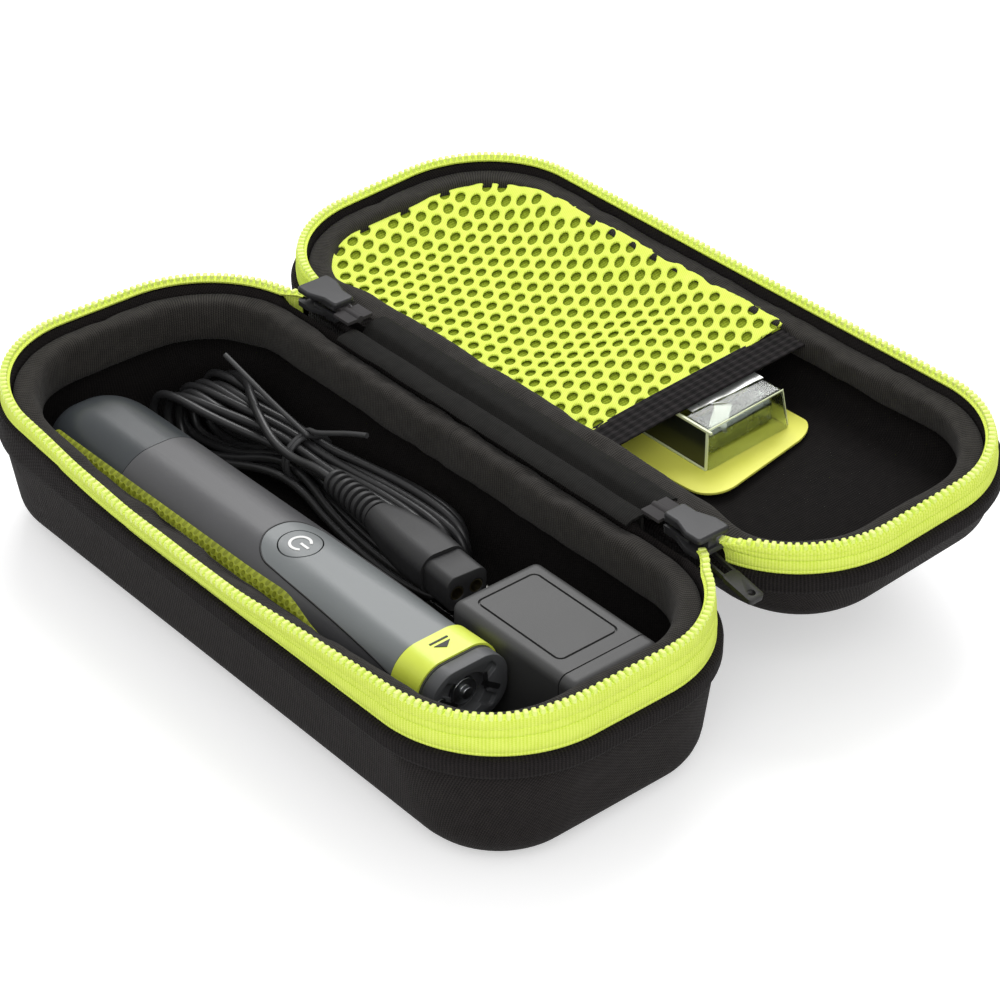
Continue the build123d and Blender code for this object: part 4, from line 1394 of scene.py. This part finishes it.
        bm = grid_skin(columns, rows, at, capped=False)
        piece = link_piece("pocket_backing_sheet", bm, PAINTED_SHADE_BACKING, None, "mesh_lime", LID_PLACE)
        thicken(piece, "cloth", self.backing_thick)
        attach(piece, "lid")

    def band(self) -> None:
        """Black elastic with raised ribs, its ends sewn under the rim."""
        (low_x, high_x), half = self.band_x, self.band_half
        columns, rows = self.band_grid
        across = []
        for i in range(rows):
            t = i / (rows - 1)
            rib = 0.22 * math.cos(2 * math.pi * self.ribs * t)
            edge = min(t, 1 - t) * 12
            rise = (0.5 + rib) * math.sqrt(min(1.0, edge + 0.05))
            across.append((low_x + (high_x - low_x) * t, rise))
        loop = [(x, h) for x, h in across] + [(x, -h * 0.8) for x, h in reversed(across)]

        def at(i: int, j: int) -> Vector:
            y = -half + 2 * half * i / (columns - 1)
            x, rise = loop[j]
            bow = 0.5 * math.cos(math.pi * y / 2 / half)
            return Vector((x - bow * 0.5, y, self.band_height + rise + 0.3 * bow))

        bm = grid_skin(columns, len(loop), at, False, True)
        piece = link_piece("pocket_elastic_band", bm, ELASTIC, "lid", "elastic_black", LID_PLACE, 60.0)
        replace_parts(piece, "lid_pocket_band")


# ---------------------------------------------------------------- blade pack
@dataclass(frozen=True)
class BladePack:
    """Spare blade in a clear blister on a lime card, in the lid's frame."""

    card: tuple[float, float, float] = (64.0, 41.5, 0.7)
    card_end: float = 51.0
    side: float = 4.0
    card_side: float = 2.2
    floor: float = 4.1
    card_corner: float = 8.0
    blister: tuple[float, float, float] = (34.0, 28.0, 11.3)
    blister_end: float = 40.0
    draft: tuple[float, float] = (1.2, 1.0)
    blister_wall: float = 0.35
    card_cuts: tuple[int, float] = (19, 3.0)       # number and pitch of the cuts that let the card bend
    curl_from: float = 6.0                         # how far before the blister's end the card lifts
    curl_run: float = 15.0
    slant: float = 0.13
    # thickness of the dark sheet of painted reflection
    reflection_sheet: float = 0.25

    def build(self) -> None:
        """Build the card and the blister, and dress the blade."""
        self.card_plate()
        self.blister_box()
        self.painted_reflection_and_highlights()
        self.foil()
        crisp_copy("spare_blade", "spare_blade_steel", BLADE_STEEL, "blade_pack", "blade_steel", 0.12)

    def card_plate(self) -> None:
        """Thin card with round corners, its free end slanted and curled up a little."""
        bm = bmesh.new()
        length, _, thick = self.card
        centre = Vector((self.card_end - length / 2, self.card_side, self.floor + thick / 2))
        add_block(bm, centre, self.card)
        upright = [e for e in bm.edges if abs(e.verts[0].co.z - e.verts[1].co.z) > thick / 2]
        round_edges(bm, upright, self.card_corner, 9, False)
        cuts, pitch = self.card_cuts
        for i in range(1, cuts + 1):
            geom = bm.verts[:] + bm.edges[:] + bm.faces[:]
            bmesh.ops.bisect_plane(bm, geom=geom, plane_co=(self.card_end - pitch * i, 0, 0),
                                   plane_no=(1, 0, 0))
        for vert in bm.verts:
            past = max(vert.co.x - self.blister_end + self.curl_from, 0) / self.curl_run
            corner = max(self.side - vert.co.y, 0) / 19
            vert.co.x -= self.slant * past * (vert.co.y + 18)
            vert.co.z += past ** 2 * (0.4 + corner)
        outer = [e for e in bm.edges if e.is_manifold and e.calc_face_angle(0) > 1.2]
        round_edges(bm, outer, 0.2)
        piece = link_piece("blade_card_sheet", bm, CARD_PLASTIC, "blade_pack", "card_lime", LID_PLACE, 40.0)
        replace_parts(piece, "blade_card")

    def blister_box(self) -> None:
        """Clear box with drawn-in sides and rounded edges."""
        bm = bmesh.new()
        length, width, high = self.blister
        low = self.floor + self.card[2] + 0.1
        centre = Vector((self.blister_end - length / 2, self.side, low + high / 2))
        add_block(bm, centre, (length, width, high))
        for vert in bm.verts:
            if vert.co.z > centre.z:
                vert.co.x += math.copysign(self.draft[0], centre.x - vert.co.x)
                vert.co.y += math.copysign(self.draft[1], centre.y - vert.co.y)
        bottom = [f for f in bm.faces if f.normal.z < -0.9]
        bmesh.ops.delete(bm, geom=bottom, context="FACES")
        inner = [e for e in bm.edges if not e.is_boundary]
        round_edges(bm, inner, 1.1, 3, False)
        bmesh.ops.recalc_face_normals(bm, faces=bm.faces)
        bmesh.ops.solidify(bm, geom=bm.faces[:], thickness=self.blister_wall)
        piece = link_piece("blade_blister_box", bm, BLISTER_CLEAR, "blade_pack", "blister_clear", LID_PLACE,
                           40.0)
        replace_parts(piece, "blade_blister")

    def painted_reflection_and_highlights(self) -> None:
        """Painted reflection: a dark sheet on the box's side towards the hinge, for the black lining seen in
        the clear side; round it, bright bars for its folded rims, painted as highlights on the edges.
        """
        length, width, high = self.blister
        low = self.floor + self.card[2] + 0.5
        top = low + high - 0.5
        y0 = self.side - width / 2 - 0.25
        x0, x1 = self.blister_end - length + 2.0, self.blister_end - 0.6
        y1 = y0 + self.draft[1]
        # painted reflection: an opaque dark sheet where the clear side shows the black lining
        reflection_sheet = bmesh.new()
        add_block(reflection_sheet, ((x0 + x1) / 2, (y0 + y1) / 2, (low + top) / 2), (x1 - x0, self.reflection_sheet, top - low),
                  Matrix.Rotation(-math.atan(self.draft[1] / high), 4, "X"))
        link_piece("blister_painted_dark_reflection", reflection_sheet, BLISTER_PAINTED_REFLECTION, "blade_pack", "blister_clear", LID_PLACE, 40.0)
        # painted highlights: bright bars along the box's edges, partly its folded rims
        bm = bmesh.new()
        for start, end, thick in (
                ((x0, y1 - 0.1, top), (x1 + 1.0, y1 - 0.1, top), 0.75),
                ((x0, y0 - 0.1, low), (x1, y0 - 0.1, low), 0.6),
                ((x1, y0 - 0.1, low), (x1 - 0.4, y1 - 0.1, top), 0.7),
                ((x1 - 0.6, y1, top), (x1 - 0.6, y1 + width - 2.2, top), 0.4),
                ((x1 + 0.1, y0 + width, low), (x1 - 0.9, y0 + width - 1.0, top), 0.35)):
            add_bar(bm, start, end, thick, thick)
        round_edges(bm, bm.edges, 0.12)
        link_piece("blister_edges_painted_highlight", bm, BLISTER_EDGE_HIGHLIGHT, "blade_pack", "blister_clear", LID_PLACE, 40.0)

    def foil(self) -> None:
        """Bent silver foil over the blade, with a folded tongue."""
        top = self.floor + self.card[2] + self.blister[2] + 0.42
        bm = bmesh.new()
        bmesh.ops.create_grid(bm, x_segments=5, y_segments=22, size=0.5)
        for vert in bm.verts:
            u, v = vert.co.x + 0.5, vert.co.y + 0.5
            wide = 6.5 - 2.5 * abs(v - 0.35)
            y = self.side - 10.5 + 23.0 * v
            x = 30.6 + 1.4 * v - wide * (1 - u)
            z = top + 0.16 * noise.noise(Vector((x / 5, y / 4, 0))) + 0.1 * math.sin(9 * v)
            vert.co = (x, y, z)
        bmesh.ops.create_grid(bm, x_segments=3, y_segments=10, size=0.5,
                              matrix=Matrix.Translation((50, 0, 0)))
        for vert in bm.verts:
            if vert.co.x > 45:
                u, v = vert.co.x - 49.5, vert.co.y + 0.5
                vert.co = (30.2 + 2.6 * u + 3.2 * v,
                           self.side - 5.6 + 3.4 * u + 1.8 * math.sin(5 * v),
                           top - 6.5 * v ** 1.5)
        bmesh.ops.recalc_face_normals(bm, faces=bm.faces)
        bmesh.ops.solidify(bm, geom=bm.faces[:], thickness=0.2)
        link_piece("blade_foil", bm, FOIL, "blade_pack", "blade_steel", LID_PLACE, 60.0)


# ---------------------------------------------------------------- shaver
@dataclass(frozen=True)
class Shaver:
    """The shaver's finishes and the fine pieces on it, in its own frame along +X from its rounded end."""

    place: Matrix = field(default_factory=lambda: (
        Matrix.Scale(MM, 4) @ Matrix.Translation((-89.0, -18.0, 4.3))
        @ Matrix.Rotation(math.radians(0.8), 4, "Z")))
    width: float = 29.0
    height: float = 30.0
    neck: tuple[float, float] = (87.0, 147.0)
    neck_narrow: float = 6.5
    neck_rise: float = 12.5
    neck_drop: float = 0.8
    round_share: float = 0.43
    button_x: float = 95.5
    plate: tuple[float, float] = (86.0, 142.0)
    plate_half: float = 9.0
    plate_flare: float = 2.0
    collar: tuple[float, float] = (142.6, 151.6)
    collar_proud: float = 0.6
    grip: tuple[float, float] = (6.0, 122.0)
    grip_grid: tuple[int, int] = (90, 16)
    grip_proud: float = 0.55
    coupling_face: float = 156.02
    coupling_centre: float = 20.85
    # each slot is a thin dark block of painted shade
    slot_size: tuple[float, float] = (0.1, 1.35)   # how deep and how wide a dark slot is
    ring: tuple[float, float, float] = (2.55, 0.72, 0.12)    # power icon: radius, stroke and thickness
    ring_gap_deg: float = 42.0

    def build(self) -> None:
        """Dress the shaver's pieces and add its icons and the painted shade line round the plate."""
        for node, finish in {"shaver_end_cap": CAP_SLATE, "shaver_back_grip": GRIP_LIME,
                             "shaver_upper_shell": SHELL_GREY, "shaver_face_plate": PLATE_GREY,
                             "shaver_collar": COLLAR_LIME, "power_button": BUTTON_GREY,
                             "chassis": INNER_BLACK, "battery_cell": CELL_WRAP, "shaver_motor": MOTOR_CAN,
                             "circuit_board": BOARD_GREEN}.items():
            dress(node, finish)
        crisp_copy("coupling_plate", "coupling_end_plate", COUPLING_GREY, "shaver", "coupling_grey", 0.3)
        crisp_copy("drive_pin", "drive_pin_turned", SCREW_STEEL, "drive_pin", "pin_steel", 0.2)
        crisp_copy("coupling_screw", "coupling_screw_head", SCREW_STEEL, "shaver", "screw_steel", 0.1)
        self.power_icon()
        self.collar_icon()
        self.plate_groove_painted_shade()
        self.side_grip()
        self.painted_slot_shade()

    def top(self, x: float, y: float) -> float:
        """Height of the handle's upper skin at a place, in the shaver's own frame.

        Args:
            x: distance from the rounded end.
            y: distance from the axis.

        Returns:
            The height, in mm.
        """
        t = smooth_step((x - self.neck[0]) / (self.neck[1] - self.neck[0]))
        wide = self.width - self.neck_narrow * t
        low, high = self.neck_rise * t, self.height - self.neck_drop * t
        r = self.round_share * min(wide, high - low)
        past = max(abs(y) - (wide / 2 - r), 0.0)
        return high - r + math.sqrt(max(r * r - past * past, 0.0))

    def drape(self, bm: Mesh, lift: float) -> None:
        """Lay a flat mesh on the handle's upper skin.

        Args:
            bm: mesh whose z is its height over the skin.
            lift: added height.
        """
        for vert in bm.verts:
            vert.co.z += self.top(vert.co.x, vert.co.y) + lift

    def side_grip(self) -> None:
        """Soft lime grip carried up the shaver's front shoulder, with a raised edge."""
        columns, rows = self.grip_grid
        start, end = self.grip

        def at(i: int, j: int) -> Vector:
            x = start + (end - start) * i / (columns - 1)
            ends = smooth_step((x - start + 4) / 10) * smooth_step((end + 4 - x) / 24)
            dome = (1 - (1 - min(x / 19.0, 1.0)) ** 2.4) ** (1 / 2.4)
            t = smooth_step((x - self.neck[0]) / (self.neck[1] - self.neck[0]))
            wide = self.width * dome - self.neck_narrow * t
            half = self.height / 2
            low = half - half * dome + self.neck_rise * t
            high = half + half * dome - self.neck_drop * t
            r = self.round_share * min(wide, high - low)
            top, foot = math.radians(6 + 36 * ends), math.radians(-40)
            angle = foot + (top - foot) * j / (rows - 1)
            centre = high - r if angle > 0 else low + r
            proud = self.grip_proud - (0.5 if j == rows - 1 else 0.0) - (0.5 if j == 0 else 0.0)
            proud *= smooth_step((x - start) / 3) * smooth_step((end - x) / 3)
            return Vector((x, r - wide / 2 - (r + proud) * math.cos(angle),
                           centre + (r + proud) * math.sin(angle)))

        bm = grid_skin(columns, rows, at, capped=False)
        link_piece("shaver_side_grip", bm, GRIP_LIME, "shaver", "grip_lime", self.place, 60.0)

    def painted_slot_shade(self) -> None:
        """Crossed slots on the coupling's face, either side of its recess, as thin dark blocks: painted shade
        for the slots' hollows.
        """
        bm = bmesh.new()
        face, centre = self.coupling_face, self.coupling_centre
        deep, wide = self.slot_size
        for sign in (1, -1):
            for a, b in (((4.9, -0.6), (4.5, 4.0)), ((3.6, 1.6), (8.9, -2.2))):
                first, last = (Vector((face, sign * y, centre + sign * z)) for y, z in (a, b))
                run = last - first
                turn = Matrix.Rotation(math.atan2(run.z, run.y), 4, "X")
                add_block(bm, (first + last) / 2, (deep, run.length, wide), turn)
        corners = [e for e in bm.edges if abs(e.verts[0].co.x - e.verts[1].co.x) > deep / 2]
        round_edges(bm, corners, 0.5, 3, False)
        link_piece("coupling_slot_painted_shade", bm, INNER_BLACK, "shaver", "inner_black", self.place, 40.0)

    def power_icon(self) -> None:
        """White ring, open towards the collar, with its bar."""
        bm = bmesh.new()
        r, stroke, thick = self.ring
        bmesh.ops.create_grid(bm, x_segments=1, y_segments=1, size=0.5)
        for vert in bm.verts:
            vert.co = (vert.co.x * stroke + r, 0.0, vert.co.y * thick)
        gap = math.radians(self.ring_gap_deg)
        bmesh.ops.rotate(bm, verts=bm.verts, cent=(0, 0, 0), matrix=Matrix.Rotation(gap, 3, "Z"))
        bmesh.ops.spin(bm, geom=bm.verts[:] + bm.edges[:] + bm.faces[:], cent=(0, 0, 0), axis=(0, 0, 1),
                       angle=2 * math.pi - 2 * gap, steps=30, use_merge=False, use_duplicate=False)
        add_block(bm, (1.55, 0, 0), (2.9, stroke, thick))
        bmesh.ops.recalc_face_normals(bm, faces=bm.faces)
        bmesh.ops.translate(bm, verts=bm.verts, vec=(self.button_x, 0, 0))
        self.drape(bm, thick / 2 + 0.02)
        link_piece("power_icon", bm, ICON_WHITE, "power_button", "button_grey", self.place, 40.0)

    def collar_icon(self) -> None:
        """Small bar and arrowhead for the way that the head comes off."""
        bm = bmesh.new()
        x = sum(self.collar) / 2
        thick = 0.16
        add_block(bm, (x - 1.7, 0, 0), (0.5, 5.2, thick))
        long_edges = [e for e in bm.edges if abs(e.verts[0].co.y - e.verts[1].co.y) > 1]
        bmesh.ops.subdivide_edges(bm, edges=long_edges, cuts=5)
        bmesh.ops.create_cone(bm, cap_ends=True, segments=3, radius1=1.0, radius2=1.0, depth=thick,
                              matrix=Matrix.Translation((x + 0.1, 0, 0)) @ Matrix.Diagonal((1.2, 2.7, 1, 1))
                              @ Matrix.Rotation(math.radians(-90), 4, "Z"))
        self.drape(bm, self.collar_proud + 0.07)
        link_piece("collar_icon", bm, INNER_BLACK, "shaver", "collar_lime", self.place, 40.0)

    def plate_groove_painted_shade(self) -> None:
        """Thin dark line round the face plate: painted shade for the groove between plate and shell."""
        x0, x1 = self.plate[0] + self.plate_half, self.plate[1]
        r, wide = self.plate_half + 0.1, self.plate_half + self.plate_flare + 0.1
        straight, bend = 22, 24
        path = [(x1 - (x1 - x0) * i / straight, wide + (r - wide) * i / straight) for i in range(straight)]
        path += [(x0 - r * math.sin(math.pi * i / bend), r * math.cos(math.pi * i / bend))
                 for i in range(bend + 1)]
        path += [(x, -y) for x, y in reversed(path[:straight])]
        ring = [(0.26 * math.cos(a), 0.3 * math.sin(a)) for a in (math.pi * k / 4 for k in range(8))]

        def at(i: int, j: int) -> Vector:
            before, after = path[max(i - 1, 0)], path[min(i + 1, len(path) - 1)]
            run = Vector((after[0] - before[0], after[1] - before[1])).normalized()
            x, y = path[i][0] + run.y * ring[j][0], path[i][1] - run.x * ring[j][0]
            return Vector((x, y, self.top(path[i][0], path[i][1]) + ring[j][1] - 0.12))

        bm = grid_skin(len(path), len(ring), at, False, True)
        link_piece("plate_groove_painted_shade", bm, INNER_BLACK, "shaver", "inner_black", self.place, 60.0)


# ---------------------------------------------------------------- charger
@dataclass(frozen=True)
class Charger:
    """Wall charger with its blades."""

    def build(self) -> None:
        """Dress the charger's housing and inner pieces, and round the edges of its blades."""
        for node, finish in (("charger_housing", CHARGER_BLACK), ("charger_end_cover", CHARGER_BLACK),
                             ("charger_board", BOARD_GREEN), ("transformer", CORE_STEEL)):
            dress(node, finish)
        crisp_copy("charger_blades", "charger_blades_nickel", BLADE_NICKEL, "charger", "blade_nickel", 0.2)


# ---------------------------------------------------------------- lead and connector
LEAD_IN = ((44.0, 14.5, 9.6), (37.2, 14.5, 9.6), (31.0, 15.2, 8.8), (25.6, 18.0, 8.8), (19.0, 17.6, 8.0),
           (8.0, 15.4, 6.6), (-8.0, 15.0, 6.6), (-26.0, 15.8, 8.6), (-38.0, 16.6, 12.4), (-50.0, 15.0, 13.2),
           (-66.0, 9.5, 9.4))                 # from the charger, under the hank, to its left end
LEAD_OUT = ((-72.0, 25.0, 25.3), (-63.0, 20.0, 25.8), (-52.0, 15.8, 24.3), (-44.0, 13.7, 23.6),
            (-35.0, 12.8, 24.2), (-26.5, 12.4, 26.6), (-18.0, 11.5, 27.6),
            (-13.0, 11.1, 27.6))              # over the hank, to the connector
TIE_START = ((-24.0, 27.0, 31.0), (-29.0, 26.4, 29.4), (-36.0, 25.0, 26.6), (-41.0, 23.6, 24.8))
TIE_END = ((-47.0, 22.4, 24.6), (-56.0, 21.4, 27.6), (-65.0, 20.6, 31.0), (-74.0, 20.0, 34.0))


@dataclass(frozen=True)
class Lead:
    """The tied lead, from the charger through its hank to the small connector."""

    radius: float = 1.2
    turns: int = 7
    length_m: float = 1.72
    left: float = -78.5
    right: float = 5.5
    waist: tuple[float, float, float] = (-44.0, 23.0, 16.5)
    exit: tuple[float, float, float] = (44.5, 14.5, 9.6)
    # at each end: the middle turn's place along Y, the pitch, an even fold's radius and what an odd one adds
    left_lanes: tuple[float, float, float, float] = (16.0, 2.75, 7.4, 0.8)
    right_lanes: tuple[float, float, float, float] = (23.8, 2.15, 7.3, 0.7)
    middle_turn: int = 3
    fold_height: tuple[float, float] = (15.2, 14.7)
    waist_pitch: float = 1.5
    waist_rise: tuple[float, float] = (1.35, 3.8)  # even and odd strands over the waist's middle
    tie_radius: float = 0.7
    wrap: tuple[float, float] = (7.3, 6.6)         # half the width and half the height of a wrap of the tie

    def build(self) -> None:
        """Lay the lead, tie it and dress what is on it."""
        pieces = [self.twist_tie()]
        for node, ending, width in (("connector_relief", "ringed", 0.25), ("connector_nose", "bored", 0.3)):
            pieces.append(crisp_copy(node, f"{node}_{ending}", CONNECTOR_BLACK, "charger", "connector_black",
                                     width))
        for node, finish in (("connector_body", CONNECTOR_BLACK), ("connector_contacts", CONTACT_BRASS),
                             ("lead_gland", CONNECTOR_BLACK)):
            dress(node, finish)
            pieces.append(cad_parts[node])
        lead = cord_curve("lead_cord", self.route(), self.radius, LEAD_BLACK, "charger")
        [c * MM for c in self.exit]
        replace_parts(lead, "lead_tube_charger", "lead_tube_connector", "lead_hank")

    def lane(self, k: float, left: bool) -> tuple[float, float]:
        """Give a turn's place across the hank at one end, and the radius of its fold.

        Args:
            k: the turn's number.
            left: whether it is the left end.

        Returns:
            Its place along Y and its radius, in mm.
        """
        middle, pitch, radius, more = self.left_lanes if left else self.right_lanes
        return middle + (k - self.middle_turn) * pitch, radius + more * (round(k) % 2)

    def fold(self, k: float, left: bool) -> list[tuple[float, float, float]]:
        """List the points of one fold of the hank, in the way that the lead runs.

        Args:
            k: the turn's number.
            left: whether it is the left end, where the lead comes up; at the right it goes down.

        Returns:
            Four points round the half circle.
        """
        y, r = self.lane(k, left)
        next_y = self.lane(k + 1, True)[0] if left else y
        x = (self.left + 2.2 * math.sin(2.1 * k)) if left else (self.right + 2.6 * math.sin(1.7 * k + 1))
        z = self.fold_height[0 if left else 1]
        reach = r / math.cos(math.pi / 8)
        way = -1 if left else 1
        found = []
        for i, angle in enumerate((-67.5, -22.5, 22.5, 67.5)):
            turn = math.radians(angle if left else -angle)
            found.append((x + way * reach * math.cos(turn), y + (next_y - y) * (i + 0.5) / 4,
                          z + reach * math.sin(turn)))
        return found

    def waist_spot(self, k: int, upper: bool) -> tuple[float, float, float]:
        """Give a strand's place in the tied waist.

        Args:
            k: the turn's number.
            upper: whether it is a strand of the upper run.

        Returns:
            The point, in mm.
        """
        rise = self.waist_rise[k % 2]
        return (self.waist[0], self.waist[1] + (k - self.middle_turn) * self.waist_pitch,
                self.waist[2] + (rise if upper else -rise))

    def between(self, k: int, upper: bool) -> list[tuple[float, float, float]]:
        """List the points of one run through the waist, from left to right.

        Args:
            k: the turn's number.
            upper: whether it is the upper run.

        Returns:
            Five points.
        """
        side = 1 if upper else -1
        tied = self.waist_spot(k, upper)
        left_y, left_r = self.lane(k, True)
        right_y, right_r = self.lane(k, False)
        sway = 1.1 * math.sin(2.3 * k + (0 if upper else 1.6))
        return [(-66.0, left_y + (tied[1] - left_y) * 0.3 + sway, 15.4 + side * (left_r - 1.2)),
                (-51.0, tied[1] + sway * 0.2, tied[2] + side * 0.4), (tied[0] + 5, tied[1], tied[2]),
                (-26.0, right_y + (tied[1] - right_y) * 0.4 - sway * 0.5, 15.2 + side * (right_r - 2.2)),
                (-8.0, right_y - sway * 0.4, 14.8 + side * right_r)]

    def route(self) -> list[tuple[float, float, float]]:
        """List the whole lead's control points, in mm."""
        points = [*LEAD_IN, *self.fold(-1, True)]
        for k in range(self.turns):
            points += self.between(k, True)
            points += self.fold(k, False)
            points += reversed(self.between(k, False))
            points += self.fold(k, True)
        return [*points, *LEAD_OUT]

    def twist_tie(self) -> bpy.types.Object:
        """Coated wire wound twice round the waist, with its two free ends.

        Returns:
            The tie.
        """
        x, y, z = self.waist
        wide, high = self.wrap
        steps = 16
        wraps = []
        for i in range(steps + 1):
            angle = math.pi / 2 + 4 * math.pi * i / steps
            wraps.append((x - 1.2 + 2.4 * i / steps, y + wide * math.cos(angle), z + high * math.sin(angle)))
        points = [*TIE_START, (x, y + 1.0, z + 7.8), *wraps, (x + 1.2, y - 1.0, z + 7.8), *TIE_END]
        tie = cord_curve("twist_tie_wire", points, self.tie_radius, TIE_BLACK, "charger")
        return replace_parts(tie, "twist_tie")


# ---------------------------------------------------------------- room, lights and camera
@dataclass(frozen=True)
class Studio:
    """Plain pale floor, soft lights and the camera."""

    eye: tuple[float, float, float] = (467.83, -348.62, 429.29)
    azimuth: float = 49.57
    elevation: float = 34.04
    roll: float = 0.17
    lens: float = 106.565
    sensor: float = 36.0
    aim: tuple[float, float, float] = (0.0, 0.04, 0.03)
    floor_grey: float = 0.86
    floor_glow: float = 0.42
    surround: float = 0.62

    def camera(self) -> None:
        """Place the camera."""
        az, el, roll = (math.radians(a) for a in (self.azimuth, self.elevation, self.roll))
        back = Vector((math.sin(az) * math.cos(el), -math.cos(az) * math.cos(el), math.sin(el)))
        right = (-back).cross(Vector((0, 0, 1))).normalized()
        up = back.cross(right)
        turned_right = right * math.cos(roll) + up * math.sin(roll)
        turned_up = up * math.cos(roll) - right * math.sin(roll)
        data = bpy.data.cameras.new("camera")
        data.lens, data.sensor_width = self.lens, self.sensor
        data.clip_start, data.clip_end = 0.05, 20.0
        camera = bpy.data.objects.new("camera", data)
        matrix = Matrix((turned_right, turned_up, back)).transposed().to_4x4()
        matrix.translation = Vector(self.eye) * MM
        camera.matrix_world = matrix
        bpy.context.scene.collection.objects.link(camera)
        bpy.context.scene.camera = camera

    def lamp(self, name: str, place: Sequence[float], size: float, power: float) -> None:
        """Add a square soft light that faces the case.

        Args:
            name: its name.
            place: its place in metres.
            size: its side in metres.
            power: its power in watts.
        """
        data = bpy.data.lights.new(name, "AREA")
        data.shape, data.size, data.energy = "SQUARE", size, power
        lamp = bpy.data.objects.new(name, data)
        lamp.location = place
        aim = Vector(self.aim) - Vector(place)
        lamp.rotation_mode = "QUATERNION"
        lamp.rotation_quaternion = aim.to_track_quat("-Z", "Y")
        bpy.context.scene.collection.objects.link(lamp)

    def floor(self) -> None:
        """Add a wide pale floor that keeps the case's shadow and is white to the camera elsewhere."""
        bm = bmesh.new()
        bmesh.ops.create_grid(bm, x_segments=2, y_segments=2, size=4.0)
        mesh = bpy.data.meshes.new("studio_floor")
        bm.to_mesh(mesh)
        bm.free()
        material, graph, shader = start_material("studio floor")
        set_inputs(shader, {"Base Color": (*[self.floor_grey] * 3, 1), "Roughness": 0.9,
                            "Specular IOR Level": 0.1, "Emission Color": (1, 1, 1, 1)})
        rays = graph.node("ShaderNodeLightPath").outputs
        mirrored = graph.math("MAXIMUM", rays["Is Glossy Ray"], rays["Is Transmission Ray"])
        seen = graph.math("MAXIMUM", rays["Is Camera Ray"], mirrored)
        graph.feed(shader.inputs["Emission Strength"], graph.math("MULTIPLY", seen, self.floor_glow))
        mesh.materials.append(material)
        floor = bpy.data.objects.new("studio_floor", mesh)
        bpy.context.scene.collection.objects.link(floor)

    def world(self) -> None:
        """Add an even pale surround, white where the camera sees it."""
        world = bpy.data.worlds.new("studio")
        bpy.context.scene.world = world
        world.use_nodes = True
        graph = Graph(world.node_tree)
        background = world.node_tree.nodes["Background"]
        background.inputs["Color"].default_value = (1, 1, 1, 1)
        rays = graph.node("ShaderNodeLightPath")
        seen = rays.outputs["Is Camera Ray"]
        graph.feed(background.inputs["Strength"], graph.spread(seen, self.surround, 1.0))

    def build(self) -> None:
        """Build the studio."""
        self.camera()
        self.floor()
        self.world()
        self.lamp("key", (-0.45, 0.5, 0.85), 0.7, 7.0)
        self.lamp("fill", (0.7, -0.5, 0.7), 0.9, 4.0)
        bpy.context.scene.view_settings.view_transform = "Standard"


def main() -> None:
    """Build the scene, piece by piece."""
    logging.basicConfig(level=logging.INFO, format="%(name)s: %(message)s")
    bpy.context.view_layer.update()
    Studio().build()
    Lead().build()
    CaseHalf("base", BASE_PLACE, lip_low=28.0, lip_height=5.5, bottom_r=12.0, collar_top=42.3, pad_top=41.0,
             teeth_top=45.0, flop=1.0).build()
    CaseHalf("lid", LID_PLACE @ Matrix.Diagonal((1, -1, 1, 1)), lip_low=11.0, lip_height=5.0, bottom_r=9.0,
             collar_top=20.8, pad_top=19.6, teeth_top=23.5, plump=1.7).build()
    Hinge().build()
    Pocket().build()
    BladePack().build()
    Shaver().build()
    Charger().build()


if __name__ == "__main__":
    main()
